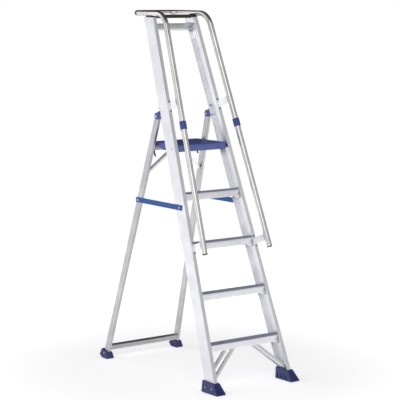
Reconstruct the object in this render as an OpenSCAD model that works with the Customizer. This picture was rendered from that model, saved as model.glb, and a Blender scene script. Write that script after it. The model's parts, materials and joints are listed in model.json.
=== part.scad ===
// Folding platform step ladder: four treads, a platform and a guard rail.
// Units are millimetres, +Z is up, +X is the user's right when facing the
// treads from the front, and -Y is the front. The floor is z = 0.

/* [Overall] */
// Height of the first tread above the floor
first_tread_height = 226; // [200:1:250]
// Rise from one tread to the next
tread_pitch = 240; // [225:1:250]
// Height of the platform surface above the floor
platform_height = 1185; // [1120:1:1240]
// Width over the front stiles, measured at the floor
front_base_width = 500; // [460:1:540]
// Width over the rear legs, measured at the floor
rear_base_width = 478; // [430:1:520]
// Backward lean of the front stiles, from vertical
front_lean = 20.5; // [16:0.1:24]
// Inward taper of each front stile
front_taper = 3.15; // [2:0.05:4]
// Forward lean of the rear legs, from vertical
rear_lean = 15.8; // [12:0.1:20]
// Inward taper of each rear leg
rear_taper = 2.95; // [2:0.05:4]

/* [Front stiles] */
// Depth of the stile channel, front to back
stile_depth = 75; // [60:1:90]
// Width of the stile flanges
stile_flange = 21.5; // [18:0.5:30]
// Wall thickness of the stile
stile_wall = 2.5; // [2:0.1:4]
// Height of the stile tops above the floor
stile_top_height = 1820; // [1700:1:1950]
// Height of the stile ends above the floor
stile_bottom_height = 12; // [8:1:20]

/* [Treads] */
// Depth of a tread, front to back
tread_depth = 64; // [60:1:80]
// Height of the tread front
tread_height = 33.5; // [28:0.5:40]
// Wall thickness of a tread
tread_wall = 2.2; // [1.5:0.1:4]
// Distance of a tread's front edge behind the stile faces
tread_setback = 4.2; // [3:0.1:8]

/* [Platform] */
// Depth of the platform, front to back
platform_depth = 238; // [200:1:240]
// Width of the platform at its front edge
platform_front_width = 304; // [290:1:310]
// Width of the platform at its rear edge
platform_rear_width = 290; // [280:1:292]
// Height of the platform front
platform_front_height = 36; // [30:1:45]
// Diameter of the platform pivot pins
platform_pin_diameter = 10; // [8:1:12]

/* [Rear frame] */
// Depth of a rear leg, front to back
leg_depth = 36; // [30:1:50]
// Width of a rear leg
leg_width = 15; // [12:0.5:25]
// Wall thickness of a rear leg
leg_wall = 1.8; // [1.5:0.1:3]
// Height of the rear hinge pins above the floor
hinge_height = 1320; // [1250:1:1400]
// Distance of the hinge pins behind the stiles
hinge_setback = 31; // [28:0.5:40]
// Diameter of the rear hinge pins
hinge_pin_diameter = 10; // [8:1:12]

/* [Guard rail] */
// Outside diameter of the rail tube
tube_diameter = 28; // [25:0.5:32]
// Wall thickness of the rail tube
tube_wall = 1.5; // [1.2:0.1:2.5]
// Distance of the tube axis in front of the stiles
tube_standoff = 94; // [70:1:110]
// Distance of the tube axis inside the stile's outer face
tube_inset = 5.5; // [0:0.5:12]
// Height of the guard rail axis above the floor
rail_height = 1840; // [1750:1:1950]
// Bend radius at the top of each upright
rail_bend_radius = 90; // [60:1:120]
// Bend radius at the rear corners
rail_corner_radius = 55; // [40:1:90]
// Distance of the rear bar behind the rail's front bend
rail_reach = 274; // [200:1:350]

/* [Straps] */
// Height of the safety straps above the floor
strap_height = 879; // [800:1:950]
// Width of the strap webbing
strap_width = 27; // [20:1:35]
// Thickness of the strap webbing
strap_thickness = 1.6; // [1:0.1:3]

/* [Hidden] */
// the bent tube is built from straight and curved lengths this far apart
seam = 0.02;
running_clearance = 0.05;
contact_gap = 0.1;
$fn = 48;

// ---- reference geometry ----
sl = sin(front_lean);
cl = cos(front_lean);
sf = sin(front_taper);
cf = cos(front_taper);
sr = sin(rear_lean);
cr = cos(rear_lean);
tube_r = tube_diameter / 2;
front_boot_toe = -28;
rear_boot_heel = 1012;
mid_y = (front_boot_toe + rear_boot_heel) / 2;

// height along the stile for a height above the floor, v behind its face
function along(z, v) = (z + v * sl) / cl;
// y of a point v behind the stile face at height z
function stile_y(z, v) = (v + z * sl) / cl;
// outer half width at a distance u along the front plane
function half_width(u) = front_base_width / 2 - tan(front_taper) * u;
// point given in the right stile's own frame
function stile_pt(x, v, u) = let (
    px = front_base_width / 2 + x * cf - u * sf,
    pu = x * sf + u * cf
) [px, v * cl + pu * sl, -v * sl + pu * cl];

hinge_v = stile_depth + hinge_setback;
hinge_y = stile_y(hinge_height, hinge_v);
hinge_u = along(hinge_height, hinge_v);
leg_y0 = hinge_y + hinge_height * tan(rear_lean) - leg_depth / 2 / cr;
hinge_q = -(hinge_y - leg_y0) * sr + hinge_height * cr;
function leg_half_width(q) = rear_base_width / 2 - tan(rear_taper) * q;
// distance along the rear plane for a height z, w behind its face
function leg_along(z, w) = (z - w * sr) / cr;
function leg_y(z, w) = leg_y0 - z * tan(rear_lean) + w / cr;

platform_y = stile_y(platform_height, 2.9);
platform_pivot_v = 22;
platform_pivot_z = platform_height - 20;
platform_pivot_y = stile_y(platform_pivot_z, platform_pivot_v);
platform_rear_y = platform_y + platform_depth;
deck_thickness = 14;

rail_u = ((rail_height - tube_standoff * sl) / cl + tube_inset * sf) / cf;
rail_corner = stile_pt(-tube_inset, -tube_standoff, rail_u);
rail_plane_tilt = atan2(sf, cf * cl);
rail_upright_tilt = asin(cf * sl);
rail_tangent = rail_bend_radius * tan((90 - rail_upright_tilt) / 2);
sleeve_u = 1344;
sleeve_length = 42;
handrail_end_u = 686;
bracket_us = [737, 1472];
tread_tops = [for (i = [0:3]) first_tread_height + i * tread_pitch];

// ---- frames ----
module place() {
    translate([0, -mid_y, 0]) children();
}

module front_plane() {
    rotate([-front_lean, 0, 0]) children();
}

// right stile frame: x = 0 is the outer face, y depth, z along
module stile_frame() {
    front_plane()
        translate([front_base_width / 2, 0, 0])
            rotate([0, -front_taper, 0]) children();
}

module rear_plane() {
    translate([0, leg_y0, 0]) rotate([rear_lean, 0, 0]) children();
}

// right rear leg frame: x = 0 is the outer face
module leg_frame() {
    rear_plane()
        translate([rear_base_width / 2, 0, 0])
            rotate([0, -rear_taper, 0]) children();
}

module both_sides() {
    children();
    mirror([1, 0, 0]) children();
}

// cylinder along +X starting at x
module x_rod(x, y, z, d, h) {
    translate([x, y, z]) rotate([0, 90, 0]) cylinder(d = d, h = h);
}

// slab between two heights, used to trim ends level with the floor
module height_band(z0, z1) {
    translate([-600, -400, z0]) cube([1200, 2000, z1 - z0]);
}

// everything outside the inner faces of both stile webs
module beyond_webs() {
    both_sides() stile_frame()
        translate([-stile_wall, -300, -100]) cube([300, 700, 2400]);
}

// everything outside the inner faces of both rear legs
module beyond_legs() {
    both_sides() leg_frame()
        translate([-leg_width, -300, -100]) cube([300, 700, 1800]);
}

// ---- front stiles ----
module stile_section() {
    groove = 0.6;
    difference() {
        translate([-stile_flange, 0]) square([stile_flange, stile_depth]);
        translate([-stile_flange - 1, stile_wall])
            square([stile_flange + 1 - stile_wall,
                stile_depth - 2 * stile_wall]);
        for (v = [13, 26, 49, 62])
            translate([-groove, v - 1]) square([groove + 1, 2]);
    }
    for (v = [stile_wall, stile_depth - stile_wall - 1.5])
        translate([-stile_flange, v]) square([2.5, 1.5]);
}

// plain prism the stile fits in, grown by g
module stile_envelope(g) {
    stile_frame() translate([-stile_flange - g, -g, -60])
        cube([stile_flange + 2 * g, stile_depth + 2 * g, 2200]);
}

module stile_holes() {
    rail_mount_axes() translate([0, 0, -12]) cylinder(d = 4.1, h = 14);
    foot_screw_axes() cylinder(d = 5.1, h = 20);
    strap_rivet_axis_front() cylinder(d = 5.1, h = 20, center = true);
    x_rod(150, platform_pivot_y, platform_pivot_z,
        platform_pin_diameter + 0.02, 60);
    hinge_rivet_axes() cylinder(d = 5.1, h = 20, center = true);
    rail_bolt_axes() cylinder(d = 6.1, h = 20, center = true);
}

module stile() {
    color([0.86, 0.87, 0.90]) difference() {
        stile_frame() translate([0, 0, -20])
            linear_extrude(2080) stile_section();
        height_band(-200, stile_bottom_height);
        height_band(stile_top_height, stile_top_height + 400);
        stile_holes();
    }
}

// ---- treads ----
module tread_outline() {
    polygon([[0, 0], [tread_depth, 0], [tread_depth, -19],
        [42, -tread_height], [0, -tread_height]]);
}

module tread_cavity() {
    w = tread_wall;
    polygon([[w, -w - 2.4], [tread_depth - w, -w - 2.4],
        [tread_depth - w, -19 + w], [41, -tread_height + w],
        [w, -tread_height + w]]);
}

module tread_prism(i) {
    z = tread_tops[i];
    translate([0, stile_y(z, tread_setback), z]) rotate([90, 0, 90])
        translate([0, 0, -300]) linear_extrude(600) children();
}

module tread_section() {
    difference() {
        tread_outline();
        tread_cavity();
        translate([5, -2]) square([tread_depth - 10, 3]);
        for (k = [0:2])
            translate([-1, -12 - 6 * k]) square([1.5, 1.2]);
    }
}

module tread(i) {
    color([0.86, 0.87, 0.90]) difference() {
        tread_prism(i) tread_section();
        beyond_webs();
    }
}

module tread_insert_section() {
    w = tread_depth - 10.2;
    translate([5.1, -1.9]) square([w, 1.7]);
    for (k = [0:8])
        translate([6.1 + 6 * k, -0.4]) square([3, 1.2]);
}

module tread_insert(i) {
    color([0.35, 0.38, 0.50]) difference() {
        tread_prism(i) tread_insert_section();
        beyond_webs();
        both_sides() stile_frame()
            translate([-stile_wall - 1, -300, -100]) cube([300, 700, 2400]);
    }
}

// moulded cleats under both ends of every tread
module tread_cleats_piece() {
    color([0.60, 0.61, 0.63]) both_sides() for (z = tread_tops)
        difference() {
            translate([0, stile_y(z, tread_setback), z - tread_height - 14])
                rotate([90, 0, 90]) linear_extrude(300)
                    polygon([[4, 14 - contact_gap], [40, 14 - contact_gap],
                        [46, 0], [16, 0]]);
            beyond_webs();
            stile_frame() translate([-400 - stile_flange + 3, -300, -100])
                cube([400, 700, 2400]);
            translate([-10, 0, 0]) height_band(z - 33.4, z + 50);
        }
}

// ---- lower tread braces ----
brace_angle = 41.5;
brace_width = 16;
brace_thickness = 11;
brace_web_x = 242;
brace_vs = [12, 59.5];
brace_ends = [first_tread_height - tread_height - contact_gap,
    first_tread_height - 26];
// the rear pair meets the stile a little higher than the front pair
brace_us = [66, 81];

// bar in the front plane, rising inward from the web
module brace_bar(i, grow = 0) {
    front_plane() translate([brace_web_x, brace_vs[i] - grow, brace_us[i]])
        rotate([0, brace_angle, 0])
            translate([-260, 0, -brace_width / 2 - grow])
                cube([275, brace_thickness + 2 * grow,
                    brace_width + 2 * grow]);
}

module tread_block(i) {
    tread_prism(i) offset(delta = contact_gap) tread_outline();
}

module brace(i) {
    color([0.80, 0.81, 0.84]) difference() {
        brace_bar(i);
        brace_hollow(i);
        tread_block(0);
        beyond_webs();
        height_band(brace_ends[i], 700);
    }
}

module brace_hollow(i) {
    front_plane() translate([brace_web_x, brace_vs[i] + 2, brace_us[i]])
        rotate([0, brace_angle, 0])
            translate([-290, 0, -brace_width / 2 + 2])
                cube([310, brace_thickness + 10, brace_width - 4]);
}

// ---- front feet ----
module foot_screw_axes() {
    for (m = [[64, 27], [17, 27]])
        translate([240, stile_y(m[1], m[0]), m[1]])
            rotate([0, 90, 0]) children();
}

module front_boot_block() {
    intersection() {
        rotate([90, 0, 90]) linear_extrude(400)
            polygon([[-22, 0], [94, 0], [98, 4], [105, 57], [15, 54],
                [-28, 5]]);
        translate([0, 300, 0]) rotate([90, 0, 0]) linear_extrude(500)
            polygon([[213, 0], [262, 0], [266, 4], [254.5, 58],
                [218, 58], [210, 4]]);
    }
}

module foot_front() {
    color([0.10, 0.11, 0.24]) difference() {
        front_boot_block();
        intersection() {
            stile_envelope(0.15);
            height_band(stile_bottom_height, 400);
        }
        brace_bar(0, 0.4);
        brace_bar(1, 0.4);
        foot_screw_axes() {
            cylinder(d = 5.1, h = 30);
            translate([0, 0, 17]) cylinder(d = 9.4, h = 20);
        }
        for (k = [0:5])
            translate([200, -12 + 16 * k, -1]) cube([80, 4, 2.5]);
    }
}

module foot_front_screws_piece() {
    color([0.75, 0.75, 0.78]) both_sides() foot_screw_axes() {
        translate([0, 0, 0.5]) cylinder(d = 5, h = 17);
        difference() {
            translate([0, 0, 17.05]) cylinder(d = 9, h = 2.2);
            translate([0, 0, 18.2]) cylinder(d = 4, h = 3, $fn = 6);
        }
    }
}

// ---- upper cross bar and rail mounts ----
crossbar_u = along(1758, 40);

module top_crossbar_piece() {
    color([0.70, 0.71, 0.73]) difference() {
        front_plane() translate([-200, 40, crossbar_u])
            difference() {
                cube([400, 28, 32]);
                translate([-1, 1.8, 1.8]) cube([402, 24.4, 28.4]);
            }
        beyond_webs();
    }
}

module crossbar_brackets_piece() {
    color([0.30, 0.30, 0.32]) both_sides() difference() {
        stile_frame() {
            translate([-stile_flange + 2.6, 70.3, crossbar_u - 44])
                cube([stile_flange - 2.6 - stile_wall, 2.1, 43.5]);
            translate([-stile_wall - 2.4, 38, crossbar_u - 44])
                cube([2.3, 33, 43.5]);
        }
        translate([0, 0, 0]) height_band(0, 1700);
    }
}

module rail_mount_axes() {
    for (m = [[64, 1802], [17, 1800]])
        stile_frame() translate([0, m[0], along(m[1], m[0]) / cf])
            rotate([0, 90, 0]) children();
}

module rail_mount() {
    color([0.72, 0.73, 0.76]) difference() {
        stile_frame() translate([-stile_flange + 0.5, stile_wall + 1.6, 1800])
            cube([stile_flange - stile_wall - 0.6,
                stile_depth - 2 * stile_wall - 3.2, 250]);
        height_band(1500, 1789.5);
        height_band(stile_top_height - 0.1, 2400);
        rail_mount_axes() translate([0, 0, -12]) cylinder(d = 4.1, h = 14);
        stile_frame() translate([-30, 28, 1946]) cube([40, 20, 60]);
    }
}

module rail_mount_rivets_piece() {
    color([0.80, 0.80, 0.82]) both_sides() rail_mount_axes() {
        translate([0, 0, -11]) cylinder(d = 4, h = 11.05);
        translate([0, 0, 0.02]) cylinder(d1 = 7.5, d2 = 4.5, h = 1.6);
    }
}

module top_saddle_piece() {
    x_tube = rail_corner[0];
    y0 = stile_y(stile_top_height, 8);
    color([0.07, 0.07, 0.08]) difference() {
        union() {
            translate([-x_tube - 10, y0, stile_top_height + 0.1])
                cube([2 * x_tube + 20, 46, 12]);
            translate([-108, y0, stile_top_height - 5])
                cube([216, 46, 8]);
        }
        both_sides() translate([x_tube, 0, rail_height])
            rotate([-90, 0, 0]) cylinder(r = tube_r + contact_gap, h = 1200);
        for (x = [-90:36:54])
            translate([x, y0 + 4, stile_top_height + 6])
                cube([30, 38, 20]);
    }
}

// ---- guard rail ----
module tube_ring() {
    difference() {
        circle(r = tube_r);
        circle(r = tube_r - tube_wall);
    }
}

module guard_rail_side() {
    start_u = sleeve_u + 0.5;
    upright_end = rail_u - rail_tangent;
    bend_x = rail_corner[0];
    bend_y = rail_corner[1] + rail_tangent;
    corner_y = rail_corner[1] + rail_reach;
    stile_frame() translate([-tube_inset, -tube_standoff, start_u])
        linear_extrude(upright_end - start_u - seam) tube_ring();
    translate([bend_x, bend_y, rail_height])
        rotate([0, -rail_plane_tilt, 0])
            translate([0, 0, -rail_bend_radius])
                rotate([90, 0, 90]) rotate([0, 0, 90])
                    rotate_extrude(angle = 90 - rail_upright_tilt, $fn = 96)
                        translate([rail_bend_radius, 0]) tube_ring();
    translate([bend_x, bend_y + seam, rail_height]) rotate([-90, 0, 0])
        linear_extrude(corner_y - rail_corner_radius - bend_y - 2 * seam)
            tube_ring();
    translate([bend_x - rail_corner_radius, corner_y - rail_corner_radius,
        rail_height])
        rotate_extrude(angle = 90, $fn = 96)
            translate([rail_corner_radius, 0]) tube_ring();
}

module guard_rail_piece() {
    half = rail_corner[0] - rail_corner_radius;
    color([0.78, 0.78, 0.80]) {
        both_sides() guard_rail_side();
        translate([-half + seam, rail_corner[1] + rail_reach, rail_height])
            rotate([0, 90, 0]) linear_extrude(2 * (half - seam)) tube_ring();
    }
}

module handrail() {
    color([0.78, 0.78, 0.80]) stile_frame()
        translate([-tube_inset, -tube_standoff, handrail_end_u])
            linear_extrude(sleeve_u - 0.5 - handrail_end_u) tube_ring();
}

module sleeve() {
    h = sleeve_length;
    bore = tube_r + running_clearance;
    color([0.16, 0.22, 0.50]) stile_frame()
        translate([-tube_inset, -tube_standoff, sleeve_u - h / 2])
            rotate_extrude() polygon([[bore, 0], [tube_r + 2.6, 0],
                [tube_r + 3.6, 1.5], [tube_r + 3.6, h - 1.5],
                [tube_r + 2.6, h], [bore, h]]);
}

module end_cap() {
    bore = tube_r - tube_wall - running_clearance;
    color([0.07, 0.07, 0.08]) stile_frame()
        translate([-tube_inset, -tube_standoff, handrail_end_u]) {
            translate([0, 0, -4.1])
                cylinder(r1 = tube_r - 0.5, r2 = tube_r + 1, h = 4);
            translate([0, 0, -0.5]) cylinder(r = bore, h = 14);
        }
}

// ---- rail brackets ----
module rail_bolt_axes() {
    stile_frame() for (u = bracket_us) for (du = [-25.5, 25.5])
        translate([-13.2, 0, u + du]) rotate([90, 0, 0]) children();
}

module rail_bracket(u) {
    color([0.82, 0.83, 0.86]) difference() {
        stile_frame() translate([0, 0, u]) {
            translate([-20, -2.6, -31]) cube([16, 2.5, 62]);
            translate([-15, -84, -16]) cube([3.2, 82, 32]);
            difference() {
                translate([-tube_inset, -tube_standoff, -16])
                    cylinder(r = tube_r + 2.4, h = 32);
                translate([-tube_inset, -tube_standoff, -17])
                    cylinder(r = tube_r + running_clearance, h = 34);
                translate([-60, -tube_standoff - 60, -17])
                    cube([120, 63, 34]);
            }
        }
        stile_frame() translate([-tube_inset, -tube_standoff, u - 40])
            cylinder(r = tube_r + running_clearance, h = 80);
        rail_bolt_axes() cylinder(d = 6.1, h = 20, center = true);
    }
}

module rail_bracket_bolts_piece() {
    color([0.10, 0.10, 0.11]) both_sides() rail_bolt_axes() {
        translate([0, 0, -4.9]) cylinder(d = 6, h = 7.6);
        translate([0, 0, 2.65]) cylinder(d1 = 10, d2 = 8, h = 3.4);
        translate([0, 0, -5.2]) cylinder(d = 9, h = 2.6, $fn = 6);
    }
}

// ---- rear hinge ----
cheek_inner_x = 152;
cheek_outer_x = 170.2;
cheek_thickness = 4.3;

module hinge_rivet_axes() {
    front_plane() for (du = [-15, 35])
        translate([161, stile_depth, hinge_u + du])
            rotate([-90, 0, 0]) children();
}

module hinge_cheek_section() {
    b = stile_depth + contact_gap;
    boss = 15.5;
    polygon(concat([[b, -23], [b + 6, -23]],
        [for (a = [-70:20:50]) [hinge_v + boss * cos(a), boss * sin(a)]],
        [[hinge_v + 6, 13.5], [hinge_v + 8, 16], [hinge_v + 6, 19],
            [b + 9, 17], [b, 19]]));
}

module hinge_bracket() {
    color([0.13, 0.16, 0.38]) difference() {
        front_plane() translate([0, 0, hinge_u]) {
            for (x = [cheek_inner_x - cheek_thickness, cheek_outer_x])
                translate([x, 0, 0]) rotate([90, 0, 90])
                    linear_extrude(cheek_thickness) hinge_cheek_section();
            translate([cheek_inner_x - 1, stile_depth + contact_gap, -23])
                cube([cheek_outer_x - cheek_inner_x + 2, 4, 42]);
            translate([cheek_inner_x - 1, stile_depth + contact_gap, 18])
                cube([15.5, 4, 25]);
        }
        x_rod(130, hinge_y, hinge_height, hinge_pin_diameter + 0.02, 60);
        hinge_rivet_axes() cylinder(d = 5.1, h = 20, center = true);
    }
}

module hinge_bracket_rivets_piece() {
    color([0.75, 0.75, 0.78]) both_sides() hinge_rivet_axes() {
        translate([0, 0, -4.4]) cylinder(d1 = 6.5, d2 = 9, h = 1.8);
        translate([0, 0, -3]) cylinder(d = 5, h = 7.5);
        translate([0, 0, 4.15]) cylinder(d1 = 9, d2 = 6.5, h = 1.8);
    }
}

module hinge_pin() {
    color([0.75, 0.75, 0.78]) {
        x_rod(cheek_inner_x - cheek_thickness - 1, hinge_y, hinge_height,
            hinge_pin_diameter, cheek_outer_x - cheek_inner_x
            + 2 * cheek_thickness + 2);
        translate([cheek_outer_x + cheek_thickness + 0.1, hinge_y,
            hinge_height]) rotate([0, 90, 0])
            cylinder(d1 = 15, d2 = 11, h = 2.6);
    }
}

// ---- platform pivots ----
module platform_pin() {
    x0 = platform_front_width / 2 - 16;
    x1 = half_width(along(platform_pivot_z, platform_pivot_v));
    color([0.75, 0.75, 0.78]) {
        x_rod(x0, platform_pivot_y, platform_pivot_z,
            platform_pin_diameter, x1 - x0 + 0.5);
        stile_frame() translate([0.05, platform_pivot_v,
            along(platform_pivot_z, platform_pivot_v) / cf])
            rotate([0, 90, 0]) cylinder(d = 13, h = 1);
    }
}

module platform_bush() {
    x0 = platform_front_width / 2 + 0.6;
    color([0.07, 0.07, 0.08]) difference() {
        x_rod(x0, platform_pivot_y, platform_pivot_z, 18, 60);
        x_rod(x0 - 1, platform_pivot_y, platform_pivot_z,
            platform_pin_diameter + 0.1, 62);
        beyond_webs();
    }
}

// ---- safety straps ----
strap_front_y = stile_y(strap_height, 42);
strap_rear_y = leg_y(strap_height, 26);
strap_tilt = 3.2;
stile_x = half_width(along(strap_height, 40));
leg_x = leg_half_width(leg_along(strap_height, 20));

module strap_rivet_axis_front() {
    stile_frame() translate([0, 42, along(strap_height, 42) / cf])
        rotate([0, 90, 0]) children();
}

module strap_rivet_axis_rear() {
    leg_frame() translate([0, 24, leg_along(strap_height, 24)])
        rotate([0, 90, 0]) children();
}

module strap() {
    s = stile_x + 0.9;
    l = leg_x + 0.9;
    t = strap_thickness;
    y_edge = stile_y(strap_height, stile_depth) + 4;
    y_leg = leg_y(strap_height, 0) - 8;
    color([0.10, 0.30, 0.65]) difference() {
        translate([stile_x, 0, strap_height]) rotate([0, -strap_tilt, 0])
            translate([-stile_x, 0, -strap_width / 2])
                linear_extrude(strap_width)
                polygon([[s, strap_front_y - 22], [s + t, strap_front_y - 22],
                    [s + t, y_edge], [l + t, y_leg],
                    [l + t, strap_rear_y + 15], [l, strap_rear_y + 15],
                    [l, y_leg], [s, y_edge]]);
        strap_rivet_axis_front() cylinder(d = 5.2, h = 20, center = true);
        strap_rivet_axis_rear() cylinder(d = 5.2, h = 20, center = true);
    }
}

module strap_rivet() {
    translate([0, 0, -5]) cylinder(d = 5, h = 8.4);
    translate([0, 0, 3.3]) cylinder(d1 = 11, d2 = 8, h = 1.6);
}

module strap_rivets_front_piece() {
    color([0.80, 0.80, 0.82]) both_sides() strap_rivet_axis_front()
        strap_rivet();
}

module strap_rivets_rear_piece() {
    color([0.80, 0.80, 0.82]) both_sides() strap_rivet_axis_rear()
        strap_rivet();
}

// ---- rear frame ----
// side view of a leg, rounded about the hinge pin
module leg_profile() {
    r = 14;
    polygon(concat([[0, -20], [leg_depth, -20], [leg_depth, hinge_q - 22]],
        [for (a = [0:15:180]) [leg_depth / 2 + r * cos(a),
            hinge_q + r * sin(a)]],
        [[0, hinge_q - 22]]));
}

module rear_leg() {
    w = leg_wall;
    color([0.62, 0.63, 0.66]) difference() {
        leg_frame() rotate([90, 0, 90]) translate([0, 0, -leg_width])
            linear_extrude(leg_width) leg_profile();
        leg_frame() translate([-leg_width + w, w, -30])
            cube([leg_width - 2 * w, leg_depth - 2 * w, hinge_q]);
        height_band(-200, 10);
        x_rod(100, hinge_y, hinge_height,
            hinge_pin_diameter + 2 * running_clearance, 100);
        strap_rivet_axis_rear() cylinder(d = 5.1, h = 16, center = true);
        foot_screw_axis_rear() cylinder(d = 5.1, h = 14);
    }
}

module rear_crossbar_lower_piece() {
    color([0.45, 0.45, 0.48]) difference() {
        translate([-300, leg_y(60, 1), 47]) rotate([90, 0, 90])
            linear_extrude(600) difference() {
                polygon([[0, 0], [34, 0], [33, 26], [3, 26], [0, 22]]);
                polygon([[2, 2], [32, 2], [31, 24], [4, 24], [2, 21.5]]);
            }
        beyond_legs();
    }
}

module rear_crossbar_upper_piece() {
    color([0.62, 0.62, 0.65]) difference() {
        translate([-300, leg_y(1156, 1), 1143]) rotate([90, 0, 90])
            linear_extrude(600) difference() {
                square([32, 27.6]);
                translate([1.8, 1.8]) square([28.4, 24]);
            }
        beyond_legs();
    }
}

knee_angle = 42.5;
knee_q = 1060;

module knee_bar(w, t, h) {
    rear_plane() translate([leg_half_width(knee_q) - leg_width, w, knee_q])
        rotate([0, knee_angle, 0])
            translate([-230, 0, -h / 2]) cube([260, t, h]);
}

module knee_brace() {
    color([0.50, 0.50, 0.53]) difference() {
        knee_bar(10, 16, 12);
        knee_bar(11.8, 16, 8.4);
        beyond_legs();
        height_band(1142.9, 1500);
    }
}

// ---- rear feet ----
module foot_screw_axis_rear() {
    translate([232, leg_y(30, 22), 30]) rotate([0, 90, 0]) children();
}

module rear_boot_block() {
    intersection() {
        rotate([90, 0, 90]) linear_extrude(400)
            polygon([[944, 0], [984, 0], [1012, 18], [1001, 49],
                [948, 35], [940, 4]]);
        translate([0, 1100, 0]) rotate([90, 0, 0]) linear_extrude(300)
            polygon([[212, 0], [250, 0], [254, 5], [245, 52],
                [217, 52], [208, 5]]);
    }
}

module foot_rear() {
    color([0.10, 0.11, 0.24]) difference() {
        rear_boot_block();
        intersection() {
            leg_frame() translate([-leg_width - 0.15, -0.15, -40])
                cube([leg_width + 0.3, leg_depth + 0.3, 300]);
            height_band(10, 400);
        }
        translate([-300, leg_y(60, 1) - 0.3, 46.7])
            cube([600, 36, 60]);
        foot_screw_axis_rear() {
            cylinder(d = 5.1, h = 30);
            translate([0, 0, 14]) cylinder(d = 9.4, h = 20);
        }
    }
}

module foot_rear_screws_piece() {
    color([0.75, 0.75, 0.78]) both_sides() foot_screw_axis_rear() {
        translate([0, 0, 0.5]) cylinder(d = 5, h = 14);
        difference() {
            translate([0, 0, 14.05]) cylinder(d = 9, h = 2.2);
            translate([0, 0, 15.2]) cylinder(d = 4, h = 3, $fn = 6);
        }
    }
}

// ---- platform ----
module deck_plan() {
    fw = platform_front_width / 2;
    rw = platform_rear_width / 2;
    polygon([[-fw, 0], [fw, 0], [fw, 60], [rw, 120],
        [rw, platform_depth - 6],
        [rw - 6, platform_depth], [-rw + 6, platform_depth],
        [-rw, platform_depth - 6], [-rw, 120], [-fw, 60]]);
}

module deck_side_section() {
    h = platform_front_height;
    polygon([[0, -h], [145, -h], [178, -deck_thickness],
        [platform_depth, -deck_thickness], [platform_depth, -2],
        [platform_depth - 2, 0], [8, 0], [4, -1.2], [1.2, -4], [0, -8]]);
}

module platform_deck_piece() {
    h = platform_front_height;
    t = 3.2;
    y_pin = platform_pivot_y - platform_y;
    z_pin = platform_pivot_z - platform_height;
    color([0.22, 0.28, 0.60])
        translate([0, platform_y, platform_height]) difference() {
            intersection() {
                translate([0, 0, -60]) linear_extrude(80) deck_plan();
                rotate([90, 0, 90]) translate([0, 0, -200])
                    linear_extrude(400) deck_side_section();
            }
            for (s = [-1, 1]) {
                translate([s > 0 ? 4 : -136, t, -h - 1])
                    cube([132, 75, h - 4]);
                translate([s > 0 ? 4 : -136, t + 79, -h - 1])
                    cube([132, 84, h - 4]);
                translate([s > 0 ? 4 : -134, 178, -h - 1])
                    cube([130, platform_depth - 182, h - 4]);
            }
            for (k = [0:11])
                translate([-138, 18 + 17.5 * k, -1.5])
                    cube([276, 6, 3]);
            x_rod(-200, y_pin, z_pin,
                platform_pin_diameter + 2 * running_clearance, 400);
        }
}

module platform_catches_piece() {
    y0 = leg_y(1156, 1) + 34;
    color([0.14, 0.17, 0.36]) both_sides()
        translate([134, y0, platform_height - deck_thickness])
            rotate([90, 0, 90]) linear_extrude(8)
                polygon([[1, 0], [7, 0], [7, -40], [3, -50],
                    [-7, -64], [-10, -62], [1, -44]]);
}

// ---- nodes ----
module stile_left() { place() mirror([1, 0, 0]) stile(); }
module stile_right() { place() stile(); }
module tread_1() { place() tread(0); }
module tread_2() { place() tread(1); }
module tread_3() { place() tread(2); }
module tread_4() { place() tread(3); }
module tread_insert_1() { place() tread_insert(0); }
module tread_insert_2() { place() tread_insert(1); }
module tread_insert_3() { place() tread_insert(2); }
module tread_insert_4() { place() tread_insert(3); }
module brace_front_left() { place() mirror([1, 0, 0]) brace(0); }
module brace_front_right() { place() brace(0); }
module brace_rear_left() { place() mirror([1, 0, 0]) brace(1); }
module brace_rear_right() { place() brace(1); }
module foot_front_left() { place() mirror([1, 0, 0]) foot_front(); }
module foot_front_right() { place() foot_front(); }
module rail_mount_left() { place() mirror([1, 0, 0]) rail_mount(); }
module rail_mount_right() { place() rail_mount(); }
module handrail_left() { place() mirror([1, 0, 0]) handrail(); }
module handrail_right() { place() handrail(); }
module sleeve_left() { place() mirror([1, 0, 0]) sleeve(); }
module sleeve_right() { place() sleeve(); }
module end_cap_left() { place() mirror([1, 0, 0]) end_cap(); }
module end_cap_right() { place() end_cap(); }
module rail_bracket_upper_left() {
    place() mirror([1, 0, 0]) rail_bracket(bracket_us[1]);
}
module rail_bracket_upper_right() { place() rail_bracket(bracket_us[1]); }
module rail_bracket_lower_left() {
    place() mirror([1, 0, 0]) rail_bracket(bracket_us[0]);
}
module rail_bracket_lower_right() { place() rail_bracket(bracket_us[0]); }
module hinge_bracket_left() { place() mirror([1, 0, 0]) hinge_bracket(); }
module hinge_bracket_right() { place() hinge_bracket(); }
module hinge_pin_left() { place() mirror([1, 0, 0]) hinge_pin(); }
module hinge_pin_right() { place() hinge_pin(); }
module platform_pin_left() { place() mirror([1, 0, 0]) platform_pin(); }
module platform_pin_right() { place() platform_pin(); }
module platform_bush_left() { place() mirror([1, 0, 0]) platform_bush(); }
module platform_bush_right() { place() platform_bush(); }
module strap_left() { place() mirror([1, 0, 0]) strap(); }
module strap_right() { place() strap(); }
module rear_leg_left() { place() mirror([1, 0, 0]) rear_leg(); }
module rear_leg_right() { place() rear_leg(); }
module knee_brace_left() { place() mirror([1, 0, 0]) knee_brace(); }
module knee_brace_right() { place() knee_brace(); }
module foot_rear_left() { place() mirror([1, 0, 0]) foot_rear(); }
module foot_rear_right() { place() foot_rear(); }
module tread_cleats() { place() tread_cleats_piece(); }
module foot_front_screws() { place() foot_front_screws_piece(); }
module top_crossbar() { place() top_crossbar_piece(); }
module crossbar_brackets() { place() crossbar_brackets_piece(); }
module rail_mount_rivets() { place() rail_mount_rivets_piece(); }
module top_saddle() { place() top_saddle_piece(); }
module guard_rail() { place() guard_rail_piece(); }
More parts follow.
